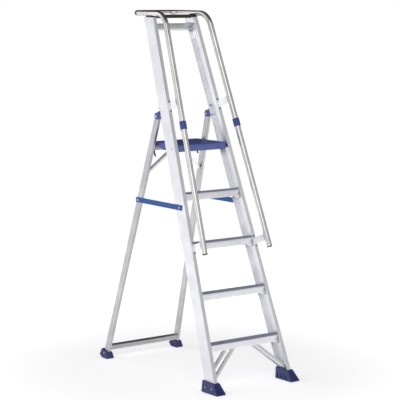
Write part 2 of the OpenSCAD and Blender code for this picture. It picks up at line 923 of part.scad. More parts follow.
module rail_bracket_bolts() { place() rail_bracket_bolts_piece(); }
module hinge_bracket_rivets() { place() hinge_bracket_rivets_piece(); }
module strap_rivets_front() { place() strap_rivets_front_piece(); }
module strap_rivets_rear() { place() strap_rivets_rear_piece(); }
module rear_crossbar_lower() { place() rear_crossbar_lower_piece(); }
module rear_crossbar_upper() { place() rear_crossbar_upper_piece(); }
module foot_rear_screws() { place() foot_rear_screws_piece(); }
module platform_deck() { place() platform_deck_piece(); }
module platform_catches() { place() platform_catches_piece(); }

stile_left();
stile_right();
tread_1();
tread_2();
tread_3();
tread_4();
tread_insert_1();
tread_insert_2();
tread_insert_3();
tread_insert_4();
tread_cleats();
brace_front_left();
brace_front_right();
brace_rear_left();
brace_rear_right();
foot_front_left();
foot_front_right();
foot_front_screws();
top_crossbar();
crossbar_brackets();
rail_mount_left();
rail_mount_right();
rail_mount_rivets();
top_saddle();
guard_rail();
handrail_left();
handrail_right();
sleeve_left();
sleeve_right();
end_cap_left();
end_cap_right();
rail_bracket_upper_left();
rail_bracket_upper_right();
rail_bracket_lower_left();
rail_bracket_lower_right();
rail_bracket_bolts();
hinge_bracket_left();
hinge_bracket_right();
hinge_bracket_rivets();
hinge_pin_left();
hinge_pin_right();
platform_pin_left();
platform_pin_right();
platform_bush_left();
platform_bush_right();
strap_left();
strap_right();
strap_rivets_front();
strap_rivets_rear();
rear_leg_left();
rear_leg_right();
rear_crossbar_lower();
rear_crossbar_upper();
knee_brace_left();
knee_brace_right();
foot_rear_left();
foot_rear_right();
foot_rear_screws();
platform_deck();
platform_catches();
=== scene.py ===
import json
import math

import bmesh
import bpy
from mathutils import Matrix, Vector


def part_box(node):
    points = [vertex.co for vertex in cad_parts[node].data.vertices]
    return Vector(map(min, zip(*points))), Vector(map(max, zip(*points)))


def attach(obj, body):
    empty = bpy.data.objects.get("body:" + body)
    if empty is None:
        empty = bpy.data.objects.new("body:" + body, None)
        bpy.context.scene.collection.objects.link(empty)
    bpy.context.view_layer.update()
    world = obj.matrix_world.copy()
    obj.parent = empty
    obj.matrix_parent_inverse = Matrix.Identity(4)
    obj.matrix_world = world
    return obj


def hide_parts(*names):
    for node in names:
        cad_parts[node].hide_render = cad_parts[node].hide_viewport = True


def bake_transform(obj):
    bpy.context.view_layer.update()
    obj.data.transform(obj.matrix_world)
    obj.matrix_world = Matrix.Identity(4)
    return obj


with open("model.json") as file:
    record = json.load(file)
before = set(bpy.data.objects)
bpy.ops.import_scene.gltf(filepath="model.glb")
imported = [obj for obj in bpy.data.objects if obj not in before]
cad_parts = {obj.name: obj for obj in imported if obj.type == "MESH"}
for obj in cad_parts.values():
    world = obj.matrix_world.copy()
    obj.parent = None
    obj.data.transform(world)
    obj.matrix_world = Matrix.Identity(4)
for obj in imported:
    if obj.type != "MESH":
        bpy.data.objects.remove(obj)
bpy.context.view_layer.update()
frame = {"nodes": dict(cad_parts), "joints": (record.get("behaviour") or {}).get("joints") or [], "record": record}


# ---------------------------------------------------------------- dimensions
MM = 0.001
LEAN = math.radians(20.5)        # front stiles, from vertical
TAPER = math.radians(3.15)       # inward taper of a front stile
REAR_LEAN = math.radians(15.8)
REAR_TAPER = math.radians(2.95)
FRONT_WIDTH = 500 * MM
REAR_WIDTH = 478 * MM
STILE_D, STILE_F, STILE_W = 75 * MM, 21.5 * MM, 2.5 * MM
STILE_LOW, STILE_TOP = 12 * MM, 1820 * MM                  # heights of the level cuts
LEG_LOW = 10 * MM
LEG_D, LEG_W = 36 * MM, 15 * MM
TREAD_D, TREAD_H = 64 * MM, 33.5 * MM
TREAD_Z = [226 * MM + i * 240 * MM for i in range(4)]
TREAD_V = 4.2 * MM               # front edge of a tread behind the stile's face
HALF_SPAN = 300 * MM             # longer than any cross piece; the ends are trimmed
TUBE_R = 14 * MM
STRAP_Z = 879 * MM
TUBE_OUT, TUBE_IN = 94 * MM, 5.5 * MM
SLEEVE_U, SLEEVE_L = 1344 * MM, 42 * MM
CAP_U = 686 * MM                 # lower end of a handrail along its stile
BRACKET_U = {"lower": 737, "upper": 1472}                  # mm along the stile
FRONT_SCREW_Z, FRONT_SCREW_VS = 27 * MM, (64 * MM, 17 * MM)
REAR_SCREW_Z, REAR_SCREW_W = 30 * MM, 22 * MM
FRONT_SCREW_X, REAR_SCREW_X = 257.3 * MM, 246.6 * MM       # underside of a head
FRONT_RECESS_X, REAR_RECESS_X = 257 * MM, 246 * MM
LOWER_BAR_Z, UPPER_BAR_Z = 60 * MM, 1156 * MM              # middle of each rear bar
PIVOT_V = 22 * MM                # platform pivot behind the stile's face
RAIL_R, CORNER_R, RAIL_REACH = 90 * MM, 55 * MM, 274 * MM
SL, CL = math.sin(LEAN), math.cos(LEAN)
SF, CF = math.sin(TAPER), math.cos(TAPER)

joints = {j["name"]: j for j in frame["joints"]}
HINGE = Vector(joints["rear_fold"]["pos_m"])
PIVOT = Vector(joints["platform_fold"]["pos_m"])
deck_lo, deck_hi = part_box("platform_deck")
_, rail_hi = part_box("guard_rail")
RAIL_Z = rail_hi.z - TUBE_R
hinge_v = STILE_D + 31 * MM
SHIFT = HINGE.y - (hinge_v + HINGE.z * SL) / CL      # row frame's y at the stile face
LEG_Y0 = HINGE.y + HINGE.z * math.tan(REAR_LEAN) - LEG_D / 2 / math.cos(REAR_LEAN)

FRONT = Matrix.Translation((0, SHIFT, 0)) @ Matrix.Rotation(-LEAN, 4, "X")
STILE = FRONT @ Matrix.Translation((FRONT_WIDTH / 2, 0, 0)) @ Matrix.Rotation(-TAPER, 4, "Y")
REAR = Matrix.Translation((0, LEG_Y0, 0)) @ Matrix.Rotation(REAR_LEAN, 4, "X")
LEG = REAR @ Matrix.Translation((REAR_WIDTH / 2, 0, 0)) @ Matrix.Rotation(-REAR_TAPER, 4, "Y")
MIRROR = Matrix.Scale(-1, 4, (1, 0, 0))
OUT = Matrix.Rotation(math.pi / 2, 4, "Y")
SIDES = (("right", Matrix.Identity(4)), ("left", MIRROR))
BOTH = (Matrix.Identity(4), MIRROR)
# a prism laid along x: its profile is (depth, height), or (height, depth) for a channel
LAID = Matrix(((0, 0, 1, 0), (1, 0, 0, 0), (0, 1, 0, 0), (0, 0, 0, 1)))
LAID_CHANNEL = Matrix(((0, 0, 1, 0), (0, 1, 0, 0), (1, 0, 0, 0), (0, 0, 0, 1)))


def along(z, v):
    """Distance along the stile of the height z, v behind its face."""
    return (z + v * SL) / CL


def stile_y(z, v):
    """Depth of the point of a stile at height z, v behind its face."""
    return SHIFT + (v + z * SL) / CL


def half_width(u):
    """Distance of a stile's outer face from the middle, u along the front frame."""
    return FRONT_WIDTH / 2 - math.tan(TAPER) * u


def leg_along(z, w):
    """Distance along a rear leg of the height z, w behind its face."""
    return (z - w * math.sin(REAR_LEAN)) / math.cos(REAR_LEAN)


def leg_half(q):
    """Distance of a leg's outer face from the middle, q along the rear frame."""
    return REAR_WIDTH / 2 - math.tan(REAR_TAPER) * q


def leg_y(z, w):
    """Depth of the point of a rear leg at height z, w behind its face."""
    return LEG_Y0 - z * math.tan(REAR_LEAN) + w / math.cos(REAR_LEAN)


# ---------------------------------------------------------------- materials
def new_material(name):
    """A material, its node tree and its Principled node."""
    m = bpy.data.materials.new(name)
    m.use_nodes = True
    nt = m.node_tree
    return m, nt, nt.nodes["Principled BSDF"]


def noise(nt, scale, stretch, detail):
    """Noise in the piece's own coordinates, stretched along its axes."""
    tc = nt.nodes.new("ShaderNodeTexCoord")
    mp = nt.nodes.new("ShaderNodeMapping")
    mp.inputs["Scale"].default_value = stretch
    n = nt.nodes.new("ShaderNodeTexNoise")
    n.inputs["Scale"].default_value = scale
    n.inputs["Detail"].default_value = detail
    nt.links.new(tc.outputs["Object"], mp.inputs["Vector"])
    nt.links.new(mp.outputs["Vector"], n.inputs["Vector"])
    return n.outputs["Fac"]


def ramp(nt, fac, stops):
    """Colour over fac through stops of (position, colour), in order."""
    r = nt.nodes.new("ShaderNodeValToRGB")
    e = r.color_ramp.elements
    e[0].position, e[0].color = stops[0][0], (*stops[0][1], 1)
    e[1].position, e[1].color = stops[-1][0], (*stops[-1][1], 1)
    for pos, col in stops[1:-1]:
        x = e.new(pos)
        x.color = (*col, 1)
    nt.links.new(fac, r.inputs["Fac"])
    return r.outputs["Color"]


def spread(nt, fac, low, high):
    """Spreads the middle of a noise over low to high."""
    r = nt.nodes.new("ShaderNodeMapRange")
    r.inputs["From Min"].default_value = 0.3
    r.inputs["From Max"].default_value = 0.7
    r.inputs["To Min"].default_value = low
    r.inputs["To Max"].default_value = high
    nt.links.new(fac, r.inputs["Value"])
    return r.outputs["Result"]


def bump(nt, bsdf, height, strength, distance):
    """Bumps the surface by a height."""
    b = nt.nodes.new("ShaderNodeBump")
    b.inputs["Strength"].default_value = strength
    b.inputs["Distance"].default_value = distance
    nt.links.new(height, b.inputs["Height"])
    nt.links.new(b.outputs["Normal"], bsdf.inputs["Normal"])


def metal(name, low, high, rough, stretch=(1, 1, 1), grain=0.12):
    """Drawn or mill-finish metal: fine streaks along the part, with soft tarnish."""
    m, nt, b = new_material(name)
    b.inputs["Metallic"].default_value = 1.0
    b.inputs["Specular IOR Level"].default_value = 0.5
    cloud = noise(nt, 9.0, (1, 1, 1), 3.0)
    streak = noise(nt, 60.0, stretch, 5.0)
    nt.links.new(ramp(nt, cloud, [(0.3, low), (0.7, high)]), b.inputs["Base Color"])
    nt.links.new(spread(nt, streak, *rough), b.inputs["Roughness"])
    bump(nt, b, streak, grain, 0.0004)
    return m


def plastic(name, low, high, rough):
    """Moulded plastic: fine grain, slight patchiness and scuffs."""
    m, nt, b = new_material(name)
    b.inputs["Metallic"].default_value = 0.0
    b.inputs["Specular IOR Level"].default_value = 0.45
    cloud = noise(nt, 22.0, (1, 1, 1), 6.0)
    fine = noise(nt, 900.0, (1, 1, 1), 2.0)
    nt.links.new(ramp(nt, cloud, [(0.25, low), (0.75, high)]), b.inputs["Base Color"])
    nt.links.new(spread(nt, cloud, *rough), b.inputs["Roughness"])
    bump(nt, b, fine, 0.25, 0.0002)
    return m


def webbing_material(name, low, high):
    """Woven strap: crossed bands of yarn with a soft sheen."""
    m, nt, b = new_material(name)
    b.inputs["Roughness"].default_value = 0.75
    b.inputs["Sheen Weight"].default_value = 0.25
    tc = nt.nodes.new("ShaderNodeTexCoord")
    waves = []
    for axis, scale in (("Y", 420.0), ("Z", 260.0)):
        w = nt.nodes.new("ShaderNodeTexWave")
        w.bands_direction = axis
        w.inputs["Scale"].default_value = scale
        w.inputs["Distortion"].default_value = 0.6
        nt.links.new(tc.outputs["Object"], w.inputs["Vector"])
        waves.append(w.outputs["Fac"])
    mul = nt.nodes.new("ShaderNodeMath")
    mul.operation = "MULTIPLY"
    nt.links.new(waves[0], mul.inputs[0])
    nt.links.new(waves[1], mul.inputs[1])
    nt.links.new(ramp(nt, mul.outputs[0], [(0.1, low), (0.8, high)]), b.inputs["Base Color"])
    bump(nt, b, mul.outputs[0], 0.5, 0.0004)
    return m


M = {
    "stile": metal("stile_aluminium", (0.75, 0.76, 0.785), (0.86, 0.865, 0.885), (0.37, 0.44),
                   (9, 9, 0.35), 0.012),
    "tread": metal("tread_aluminium", (0.78, 0.79, 0.82), (0.90, 0.90, 0.92), (0.32, 0.46),
                   (0.35, 9, 9), 0.05),
    # rear crossbars: a darker copy of the tread aluminium, painted shade
    "tread_dark": metal("rear_bar_painted_shade", (0.44, 0.44, 0.45), (0.58, 0.58, 0.59), (0.34, 0.50),
                        (0.35, 9, 9)),
    "plate": metal("plate_aluminium", (0.74, 0.75, 0.78), (0.88, 0.88, 0.90), (0.30, 0.45)),
    "tube": metal("bright_tube", (0.60, 0.585, 0.56), (0.76, 0.75, 0.73), (0.20, 0.27),
                  (6, 6, 0.3), 0.01),
    "fluted": metal("fluted_tube", (0.66, 0.65, 0.63), (0.80, 0.79, 0.78), (0.20, 0.30),
                    (6, 6, 0.3), 0.01),
    # rear legs: a darker copy of the aluminium, painted shade of the rear frame
    "rear": metal("rear_aluminium_painted_shade", (0.46, 0.46, 0.48), (0.60, 0.60, 0.62), (0.36, 0.48),
                  (9, 9, 0.35), 0.05),
    # top crossbar and tread cleats: a darker copy of the plate aluminium, painted shade
    "bar": metal("top_bar_painted_shade", (0.62, 0.63, 0.66), (0.76, 0.77, 0.80), (0.32, 0.46), (0.35, 9, 9)),
    "dark_steel": metal("dark_steel", (0.10, 0.10, 0.11), (0.22, 0.22, 0.24), (0.35, 0.5)),
    "hardware": metal("zinc_hardware", (0.55, 0.55, 0.56), (0.78, 0.78, 0.79), (0.22, 0.40)),
    "black": plastic("black_plastic", (0.018, 0.018, 0.020), (0.035, 0.035, 0.040), (0.40, 0.55)),
    "satin_black": plastic("satin_black", (0.012, 0.012, 0.014), (0.03, 0.03, 0.033),
                           (0.22, 0.38)),
    "blue": plastic("blue_plastic", (0.075, 0.105, 0.33), (0.10, 0.14, 0.40), (0.42, 0.58)),
    "deep_blue": plastic("deep_blue_plastic", (0.030, 0.055, 0.24), (0.05, 0.085, 0.33),
                         (0.26, 0.38)),
    "foot": plastic("foot_plastic", (0.020, 0.026, 0.12), (0.036, 0.046, 0.18), (0.36, 0.52)),
    "grip": plastic("tread_grip", (0.36, 0.39, 0.54), (0.48, 0.51, 0.66), (0.55, 0.75)),
    "webbing": webbing_material("strap_webbing", (0.006, 0.065, 0.28), (0.015, 0.13, 0.44)),
}
SLOT = {"aluminium": "plate", "bright_tube": "tube", "rear_frame_metal": "rear",
        "hardware": "hardware", "black_plastic": "black", "foot_plastic": "foot",
        "blue_plastic": "blue", "tread_grip": "grip", "webbing": "webbing"}
node_slot = {s["node"]: s["material_slot"] for s in frame["record"]["subparts"]}
for name, obj in frame["nodes"].items():
    obj.data.materials.clear()
    obj.data.materials.append(M[SLOT[node_slot[name]]])


# ---------------------------------------------------------------- mesh tools
def make(name, bm, matrix, material, body, bevel=0.0, segments=2, smooth=35,
         hides=()):
    """Turns a bmesh into a named piece placed by matrix and riding on a body."""
    flip = matrix.determinant() < 0
    base = matrix.copy()
    if flip:
        # mirror the mesh itself and keep a clean rotation on the object
        bm.transform(MIRROR)
        bmesh.ops.reverse_faces(bm, faces=bm.faces[:])
        base = matrix @ MIRROR
    bmesh.ops.recalc_face_normals(bm, faces=bm.faces[:])
    me = bpy.data.meshes.new(name)
    bm.to_mesh(me)
    bm.free()
    me.shade_smooth()
    me.set_sharp_from_angle(angle=math.radians(smooth))
    me.materials.append(material)
    ob = bpy.data.objects.new(name, me)
    bpy.context.scene.collection.objects.link(ob)
    ob.matrix_world = base
    if bevel:
        b = ob.modifiers.new("edge", "BEVEL")
        b.width = bevel
        b.segments = segments
        b.limit_method = "ANGLE"
        b.angle_limit = math.radians(smooth)
        b.harden_normals = True
    if body:
        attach(ob, body)
    if hides:
        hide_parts(*hides)
    return ob


def mm(points):
    """Points given in millimetres, in metres."""
    return [(a * MM, b * MM) for a, b in points]


def prism(profile, a, b):
    """Profile in XY, extruded from z = a to z = b."""
    bm = bmesh.new()
    low = [bm.verts.new((x, y, a)) for x, y in profile]
    high = [bm.verts.new((x, y, b)) for x, y in profile]
    n = len(profile)
    for i in range(n):
        bm.faces.new((low[i], low[(i + 1) % n], high[(i + 1) % n], high[i]))
    bm.faces.new(low[::-1])
    bm.faces.new(high)
    return bm


def add_box(bm, lo, hi):
    """Adds a box between two corners."""
    vs = [bm.verts.new((x, y, z)) for x in (lo[0], hi[0]) for y in (lo[1], hi[1])
          for z in (lo[2], hi[2])]
    for f in ((0, 1, 3, 2), (4, 6, 7, 5), (0, 4, 5, 1), (2, 3, 7, 6), (0, 2, 6, 4), (1, 5, 7, 3)):
        bm.faces.new([vs[i] for i in f])


def trim(bm, point, normal):
    """Cuts away what is beyond the plane and closes the cut."""
    geom = bm.verts[:] + bm.edges[:] + bm.faces[:]
    bmesh.ops.bisect_plane(bm, geom=geom, plane_co=point, plane_no=normal, clear_outer=True)
    edges = [e for e in bm.edges if e.is_boundary]
    if edges:
        bmesh.ops.edgeloop_fill(bm, edges=edges)


def trim_to_side(bm, side_frame, inset):
    """Trims both ends at the mirrored planes that lie inset inside a side's outer face."""
    for s in (1, -1):
        n = side_frame.to_3x3() @ Vector((1, 0, 0))
        p = side_frame @ Vector((-inset, 0, 0))
        n.x *= s
        p.x *= s
        trim(bm, p, n)
    return bm


def rings_to_mesh(rings, closed=False):
    """Joins rings of points; a closed row has no caps."""
    bm = bmesh.new()
    loops = [[bm.verts.new(p) for p in r] for r in rings]
    n = len(rings[0])
    pairs = list(zip(loops, loops[1:])) + ([(loops[-1], loops[0])] if closed else [])
    for a, b in pairs:
        for i in range(n):
            bm.faces.new((a[i], a[(i + 1) % n], b[(i + 1) % n], b[i]))
    if not closed:
        bm.faces.new(loops[0][::-1])
        bm.faces.new(loops[-1])
    return bm


def sweep(path, section):
    """Section (x, y) swept along path points, with the frame carried without twist."""
    rings, x = [], Vector((1, 0, 0))
    for i, p in enumerate(path):
        t = (path[min(i + 1, len(path) - 1)] - path[max(i - 1, 0)]).normalized()
        x = (x - t * x.dot(t)).normalized()
        y = t.cross(x)
        rings.append([p + x * s + y * c for s, c in section])
    return rings_to_mesh(rings)


def revolve(profile, steps):
    """Ring with this closed profile (radius, z), turned about Z."""
    rings = []
    for k in range(steps):
        a = 2 * math.pi * k / steps
        rings.append([Vector((r * math.cos(a), r * math.sin(a), z)) for r, z in profile])
    return rings_to_mesh(rings, closed=True)


def solid_turned(profile, steps):
    """Profile (radius, z) from a point on the axis to a point on the axis."""
    bm = bmesh.new()
    rows = []
    for r, z in profile:
        if r < 1e-9:
            rows.append([bm.verts.new((0, 0, z))])
        else:
            rows.append([bm.verts.new((x, y, z)) for x, y in circle(r, steps)])
    for a, b in zip(rows, rows[1:]):
        for k in range(steps):
            n = (k + 1) % steps
            if len(a) == 1:
                bm.faces.new((a[0], b[n], b[k]))
            elif len(b) == 1:
                bm.faces.new((a[k], a[n], b[0]))
            else:
                bm.faces.new((a[k], a[n], b[n], b[k]))
    return bm


def join_bm(target, other, matrix=Matrix.Identity(4)):
    """Moves other by matrix and adds it to target."""
    me = bpy.data.meshes.new("tmp")
    other.transform(matrix)
    other.to_mesh(me)
    target.from_mesh(me)
    bpy.data.meshes.remove(me)
    other.free()


def circle(r, n, flutes=0, depth=0.0):
    """Circle of n points, with grooves of a depth where flutes are asked for."""
    pts = []
    for k in range(n):
        a = 2 * math.pi * k / n
        rr = r - (depth * (0.5 + 0.5 * math.cos(flutes * a)) if flutes else 0)
        pts.append((rr * math.cos(a), rr * math.sin(a)))
    return pts


def rounded_rect(x0, y0, x1, y1, r):
    """Rectangle between two corners, its own corners rounded by r."""
    pts, steps = [], 4
    for cx, cy, a0 in ((x1 - r, y1 - r, 0), (x0 + r, y1 - r, 90), (x0 + r, y0 + r, 180),
                       (x1 - r, y0 + r, 270)):
        for k in range(steps + 1):
            a = math.radians(a0 + 90 * k / steps)
            pts.append((cx + r * math.cos(a), cy + r * math.sin(a)))
    return pts


# ---------------------------------------------------------------- front stiles
def stile_profile():
    """C-channel seen along the stile: x from the outer face inward, y depth."""
    w, f, d = STILE_W, STILE_F, STILE_D
    pts = []
    # outer web with shallow lengthwise ribs
    y = 3.0 * MM
    pts.append((-0.6 * MM, 0.15 * MM))
    pts.append((0, 0.8 * MM))
    while y < d - 5 * MM:
        deep = 0.55 * MM
        pts += [(0, y), (-deep, y + 0.5 * MM), (-deep, y + 1.6 * MM), (0, y + 2.1 * MM)]
        y += 8.4 * MM
    pts.append((0, d - 0.8 * MM))
    pts.append((-0.6 * MM, d - 0.15 * MM))
    pts += [(-1.2 * MM, d), (-f + 0.6 * MM, d), (-f, d - 0.6 * MM), (-f, d - w - 1.3 * MM),
            (-f + 2.4 * MM, d - w - 1.4 * MM), (-f + 2.6 * MM, d - w), (-w - 1.5 * MM, d - w),
            (-w, d - w - 1.5 * MM), (-w, w + 1.5 * MM), (-w - 1.5 * MM, w),
            (-f + 2.6 * MM, w), (-f + 2.4 * MM, w + 1.4 * MM), (-f, w + 1.3 * MM),
            (-f, 0.6 * MM), (-f + 0.6 * MM, 0), (-1.2 * MM, 0)]
    return pts


local_up = STILE.to_3x3().transposed() @ Vector((0, 0, 1))
for side, flip in SIDES:
    bm = prism(stile_profile(), STILE_LOW - 32 * MM, STILE_TOP + 260 * MM)
    inv = STILE.inverted()
    trim(bm, inv @ Vector((0, 0, STILE_TOP)), local_up)
    trim(bm, inv @ Vector((0, 0, STILE_LOW)), -local_up)
    make("stile_" + side + "_detail", bm, flip @ STILE, M["stile"], "front_frame",
         bevel=0.25 * MM, segments=1, hides=["stile_" + side])


# ---------------------------------------------------------------- treads
def tread_profile():
    """Depth y, height z; rounded nose with a ribbed front."""
    d, h, w = TREAD_D, TREAD_H, 2.2 * MM
    pts = [(1.6 * MM, 0), (0.5 * MM, -0.5 * MM), (0, -1.8 * MM)]
    for k in range(3):
        z = -(11 + 6 * k) * MM
        pts += [(0, z + 0.6 * MM), (0.6 * MM, z + 0.2 * MM), (0.6 * MM, z - 0.8 * MM),
                (0, z - 1.2 * MM)]
    pts += [(0, -h + 1.2 * MM), (1.2 * MM, -h), (41 * MM, -h), (42.5 * MM, -h + 0.6 * MM),
            (d, -19 * MM), (d, -1.5 * MM), (d - 1.5 * MM, 0), (d - 5 * MM, 0),
            (d - 5 * MM, -2 * MM), (5 * MM, -2 * MM), (5 * MM, 0)]
    return pts


def grip_profile():
    """Depth y, height z: a thin mat with raised ribs."""
    d = TREAD_D
    pts = [(5.1 * MM, -1.9 * MM), (5.1 * MM, -0.3 * MM)]
    y = 6.0 * MM
    while y < d - 8 * MM:
        pts += [(y, -0.3 * MM), (y + 0.35 * MM, 0.75 * MM), (y + 1.9 * MM, 0.75 * MM),
                (y + 2.3 * MM, -0.3 * MM)]
        y += 3.9 * MM
    pts += [(d - 5.1 * MM, -0.3 * MM), (d - 5.1 * MM, -1.9 * MM)]
    return pts


def across(profile, half, z, y0):
    """A (depth, height) profile laid across the ladder at height z."""
    bm = prism(profile, -half, half)
    bm.transform(Matrix.Translation((0, y0, z)) @ LAID)
    return bm


for i, z in enumerate(TREAD_Z):
    y0 = stile_y(z, TREAD_V)
    bm = trim_to_side(across(tread_profile(), HALF_SPAN, z, y0), STILE, STILE_W)
    c = Matrix.Translation((0, y0, z))
    bm.transform(c.inverted())
    make("tread_%d_detail" % (i + 1), bm, c, M["tread"], "front_frame",
         bevel=0.3 * MM, segments=1, hides=["tread_%d" % (i + 1)])
    bm = trim_to_side(across(grip_profile(), HALF_SPAN, z, y0), STILE, STILE_W + 2 * MM)
    bm.transform(c.inverted())
    make("tread_grip_%d_detail" % (i + 1), bm, c, M["grip"], "front_frame",
         hides=["tread_insert_%d" % (i + 1)])


# ---------------------------------------------------------------- rail tubes
rail_u = ((RAIL_Z - TUBE_OUT * SL) / CL + TUBE_IN * SF) / CF
corner = STILE @ Vector((-TUBE_IN, -TUBE_OUT, rail_u))
up_dir = (STILE.to_3x3() @ Vector((0, 0, 1))).normalized()
turn = math.pi / 2 - math.asin(CF * SL)
tangent = RAIL_R * math.tan(turn / 2)


def arc(p, d0, d1, r, steps):
    """Points of a fillet of radius r at corner p between directions d0 and d1."""
    angle = d0.angle(d1)
    t = r * math.tan(angle / 2)
    a = p - d0 * t
    n = (d1 - d0 * d0.dot(d1)).normalized()
    c = a + n * r
    return [c - n * r * math.cos(angle * k / steps) + d0 * r * math.sin(angle * k / steps)
            for k in range(steps + 1)]


back = Vector((0, 1, 0))
rear_corner = corner + back * RAIL_REACH
start = STILE @ Vector((-TUBE_IN, -TUBE_OUT, SLEEVE_U + 0.5 * MM))
half_path = [start + (corner - up_dir * tangent - start) * (k / 6) for k in range(6)]
half_path += arc(corner, up_dir, back, RAIL_R, 20)
half_path += arc(rear_corner, back, Vector((-1, 0, 0)), CORNER_R, 18)
left_path = [Vector((-p.x, p.y, p.z)) for p in half_path][::-1]
bm = sweep(half_path + left_path, circle(TUBE_R, 48))
make("guard_rail_detail", bm, Matrix.Identity(4), M["tube"], "front_frame",
     hides=["guard_rail"])

for side, flip in SIDES:
    base = STILE @ Matrix.Translation((-TUBE_IN, -TUBE_OUT, 0))
    length = SLEEVE_U - 0.5 * MM - CAP_U
    pts = [Vector((0, 0, CAP_U + length * k / 8)) for k in range(9)]
    bm = sweep(pts, circle(TUBE_R, 144, 24, 0.12 * MM))
    make("handrail_" + side + "_detail", bm, flip @ base, M["fluted"], "front_frame",
         smooth=60, hides=["handrail_" + side])
    # sleeve with rolled ends and two grooves
    h, r = SLEEVE_L / 2, TUBE_R + 0.05 * MM
    prof = [(r, -h), (r + 2.2 * MM, -h), (r + 3.2 * MM, -h + 1 * MM)]
    for zc in (-12 * MM, 12 * MM):
        prof += [(r + 3.4 * MM, zc - 1.6 * MM), (r + 2.5 * MM, zc - 0.9 * MM),
                 (r + 2.5 * MM, zc + 0.9 * MM), (r + 3.4 * MM, zc + 1.6 * MM)]
    prof += [(r + 3.2 * MM, h - 1 * MM), (r + 2.2 * MM, h), (r, h)]
    bm = revolve(prof, 56)
    bm.transform(Matrix.Translation((0, 0, SLEEVE_U)))
    make("sleeve_" + side + "_detail", bm, flip @ base, M["deep_blue"], "front_frame",
         hides=["sleeve_" + side])
    prof = [(0, -4.1 * MM), (TUBE_R - 2 * MM, -4.1 * MM), (TUBE_R - 0.4 * MM, -3.4 * MM),
            (TUBE_R + 0.9 * MM, -1.2 * MM), (TUBE_R + 1.0 * MM, -0.1 * MM),
            (TUBE_R - 2 * MM, 0), (TUBE_R - 2 * MM, 10 * MM), (0, 10 * MM)]
    bm = solid_turned(prof, 40)
    bm.transform(Matrix.Translation((0, 0, CAP_U)))
    make("end_cap_" + side + "_detail", bm, flip @ base, M["black"], "front_frame",
         hides=["end_cap_" + side])


# ---------------------------------------------------------------- platform
def deck_profile():
    """Side view from the front edge: depth y, height z below the deck's top."""
    d = deck_hi.y - deck_lo.y
    h = deck_hi.z - deck_lo.z
    pts = [(0, -h + 2 * MM), (0, -7 * MM)]
    for k in range(7):
        a = math.radians(90 * k / 6)
        pts.append((6 * MM - 6 * MM * math.cos(a), -6 * MM + 6 * MM * math.sin(a)))
    y = 14 * MM
    while y < d - 14 * MM:
        pts += [(y, 0), (y + 0.5 * MM, -1.1 * MM), (y + 2.3 * MM, -1.1 * MM), (y + 2.8 * MM, 0)]
        y += 9.2 * MM
    for k in range(5):
        a = math.radians(90 * k / 4)
        pts.append((d - 3 * MM + 3 * MM * math.sin(a), -3 * MM + 3 * MM * math.cos(a)))
    pts += [(d, -12 * MM), (d - 1.5 * MM, -14 * MM), (178 * MM, -14 * MM), (145 * MM, -h),
            (2 * MM, -h)]
    return pts


bm = across(deck_profile(), 200 * MM, deck_hi.z, deck_lo.y)
for s in (1, -1):
    trim(bm, Vector((s * deck_hi.x, 0, 0)), Vector((s, 0, 0)))
c = Matrix.Translation((0, deck_lo.y, deck_hi.z))
bm.transform(c.inverted())
narrow_from, narrow_over, narrow_share = 60 * MM, 60 * MM, 7.0 / 152.0
for v in bm.verts:
    # the deck narrows a little behind the pivots
    t = min(max((v.co.y - narrow_from) / narrow_over, 0), 1)
    v.co.x *= 1 - t * narrow_share
make("platform_deck_detail", bm, c, M["blue"], "platform", bevel=1.2 * MM,
     segments=3, smooth=50, hides=["platform_deck"])


# ---------------------------------------------------------------- feet
def boot(side_view, front_view):
    """Solid whose side view (y, z) and front view (x, z) are these convex outlines."""
    bm = prism(mm(side_view), 150 * MM, 320 * MM)
    bm.transform(Matrix.Translation((0, SHIFT, 0)) @ LAID)
    pts = mm(front_view)
    for (x0, z0), (x1, z1) in zip(pts, pts[1:] + pts[:1]):
        trim(bm, Vector((x0, 0, z0)), Vector((z1 - z0, 0, x0 - x1)).normalized())
    return bm


def carve(ob, cutters, rounds=()):
    """Cuts boxes (low corner, high corner) and rounds (matrix, radius, depth) out of ob."""
    bm = bmesh.new()
    for spot, r, h in rounds:
        join_bm(bm, solid_turned([(0, 0), (r, 0), (r, h), (0, h)], 24), spot)
    for lo, hi in cutters:
        add_box(bm, lo, hi)
    bmesh.ops.recalc_face_normals(bm, faces=bm.faces[:])
    me = bpy.data.meshes.new("cutter")
    bm.to_mesh(me)
    bm.free()
    tool = bpy.data.objects.new("cutter", me)
    bpy.context.scene.collection.objects.link(tool)
    mod = ob.modifiers.new("carve", "BOOLEAN")
    mod.object = tool
    mod.solver = "EXACT"
    bevels = [m for m in ob.modifiers if m.type == "BEVEL"]
    for m in bevels:
        m.show_viewport = False
    bpy.context.view_layer.update()
    cut = bpy.data.meshes.new_from_object(
        ob.evaluated_get(bpy.context.evaluated_depsgraph_get()))
    ob.modifiers.remove(mod)
    for m in bevels:
        m.show_viewport = True
    ob.data = cut
    bpy.data.objects.remove(tool)


def foot_screws(end, body, spots):
    """Screw heads with a recess, at every spot and on both sides."""
    r, h, recess = 4.6 * MM, 2.6 * MM, 1.5 * MM
    profile = [(0, 0), (r, 0), (r, h * 0.55), (r * 0.82, h), (recess, h),
               (recess * 0.9, h * 0.35), (0, h * 0.3)]
    both = bmesh.new()
    for spot in spots:
        for flip in BOTH:
            join_bm(both, solid_turned(profile, 24), flip @ Matrix.Translation(spot) @ OUT)
    make("foot_%s_screws_detail" % end, both, Matrix.Identity(4), M["hardware"], body,
         hides=["foot_%s_screws" % end])


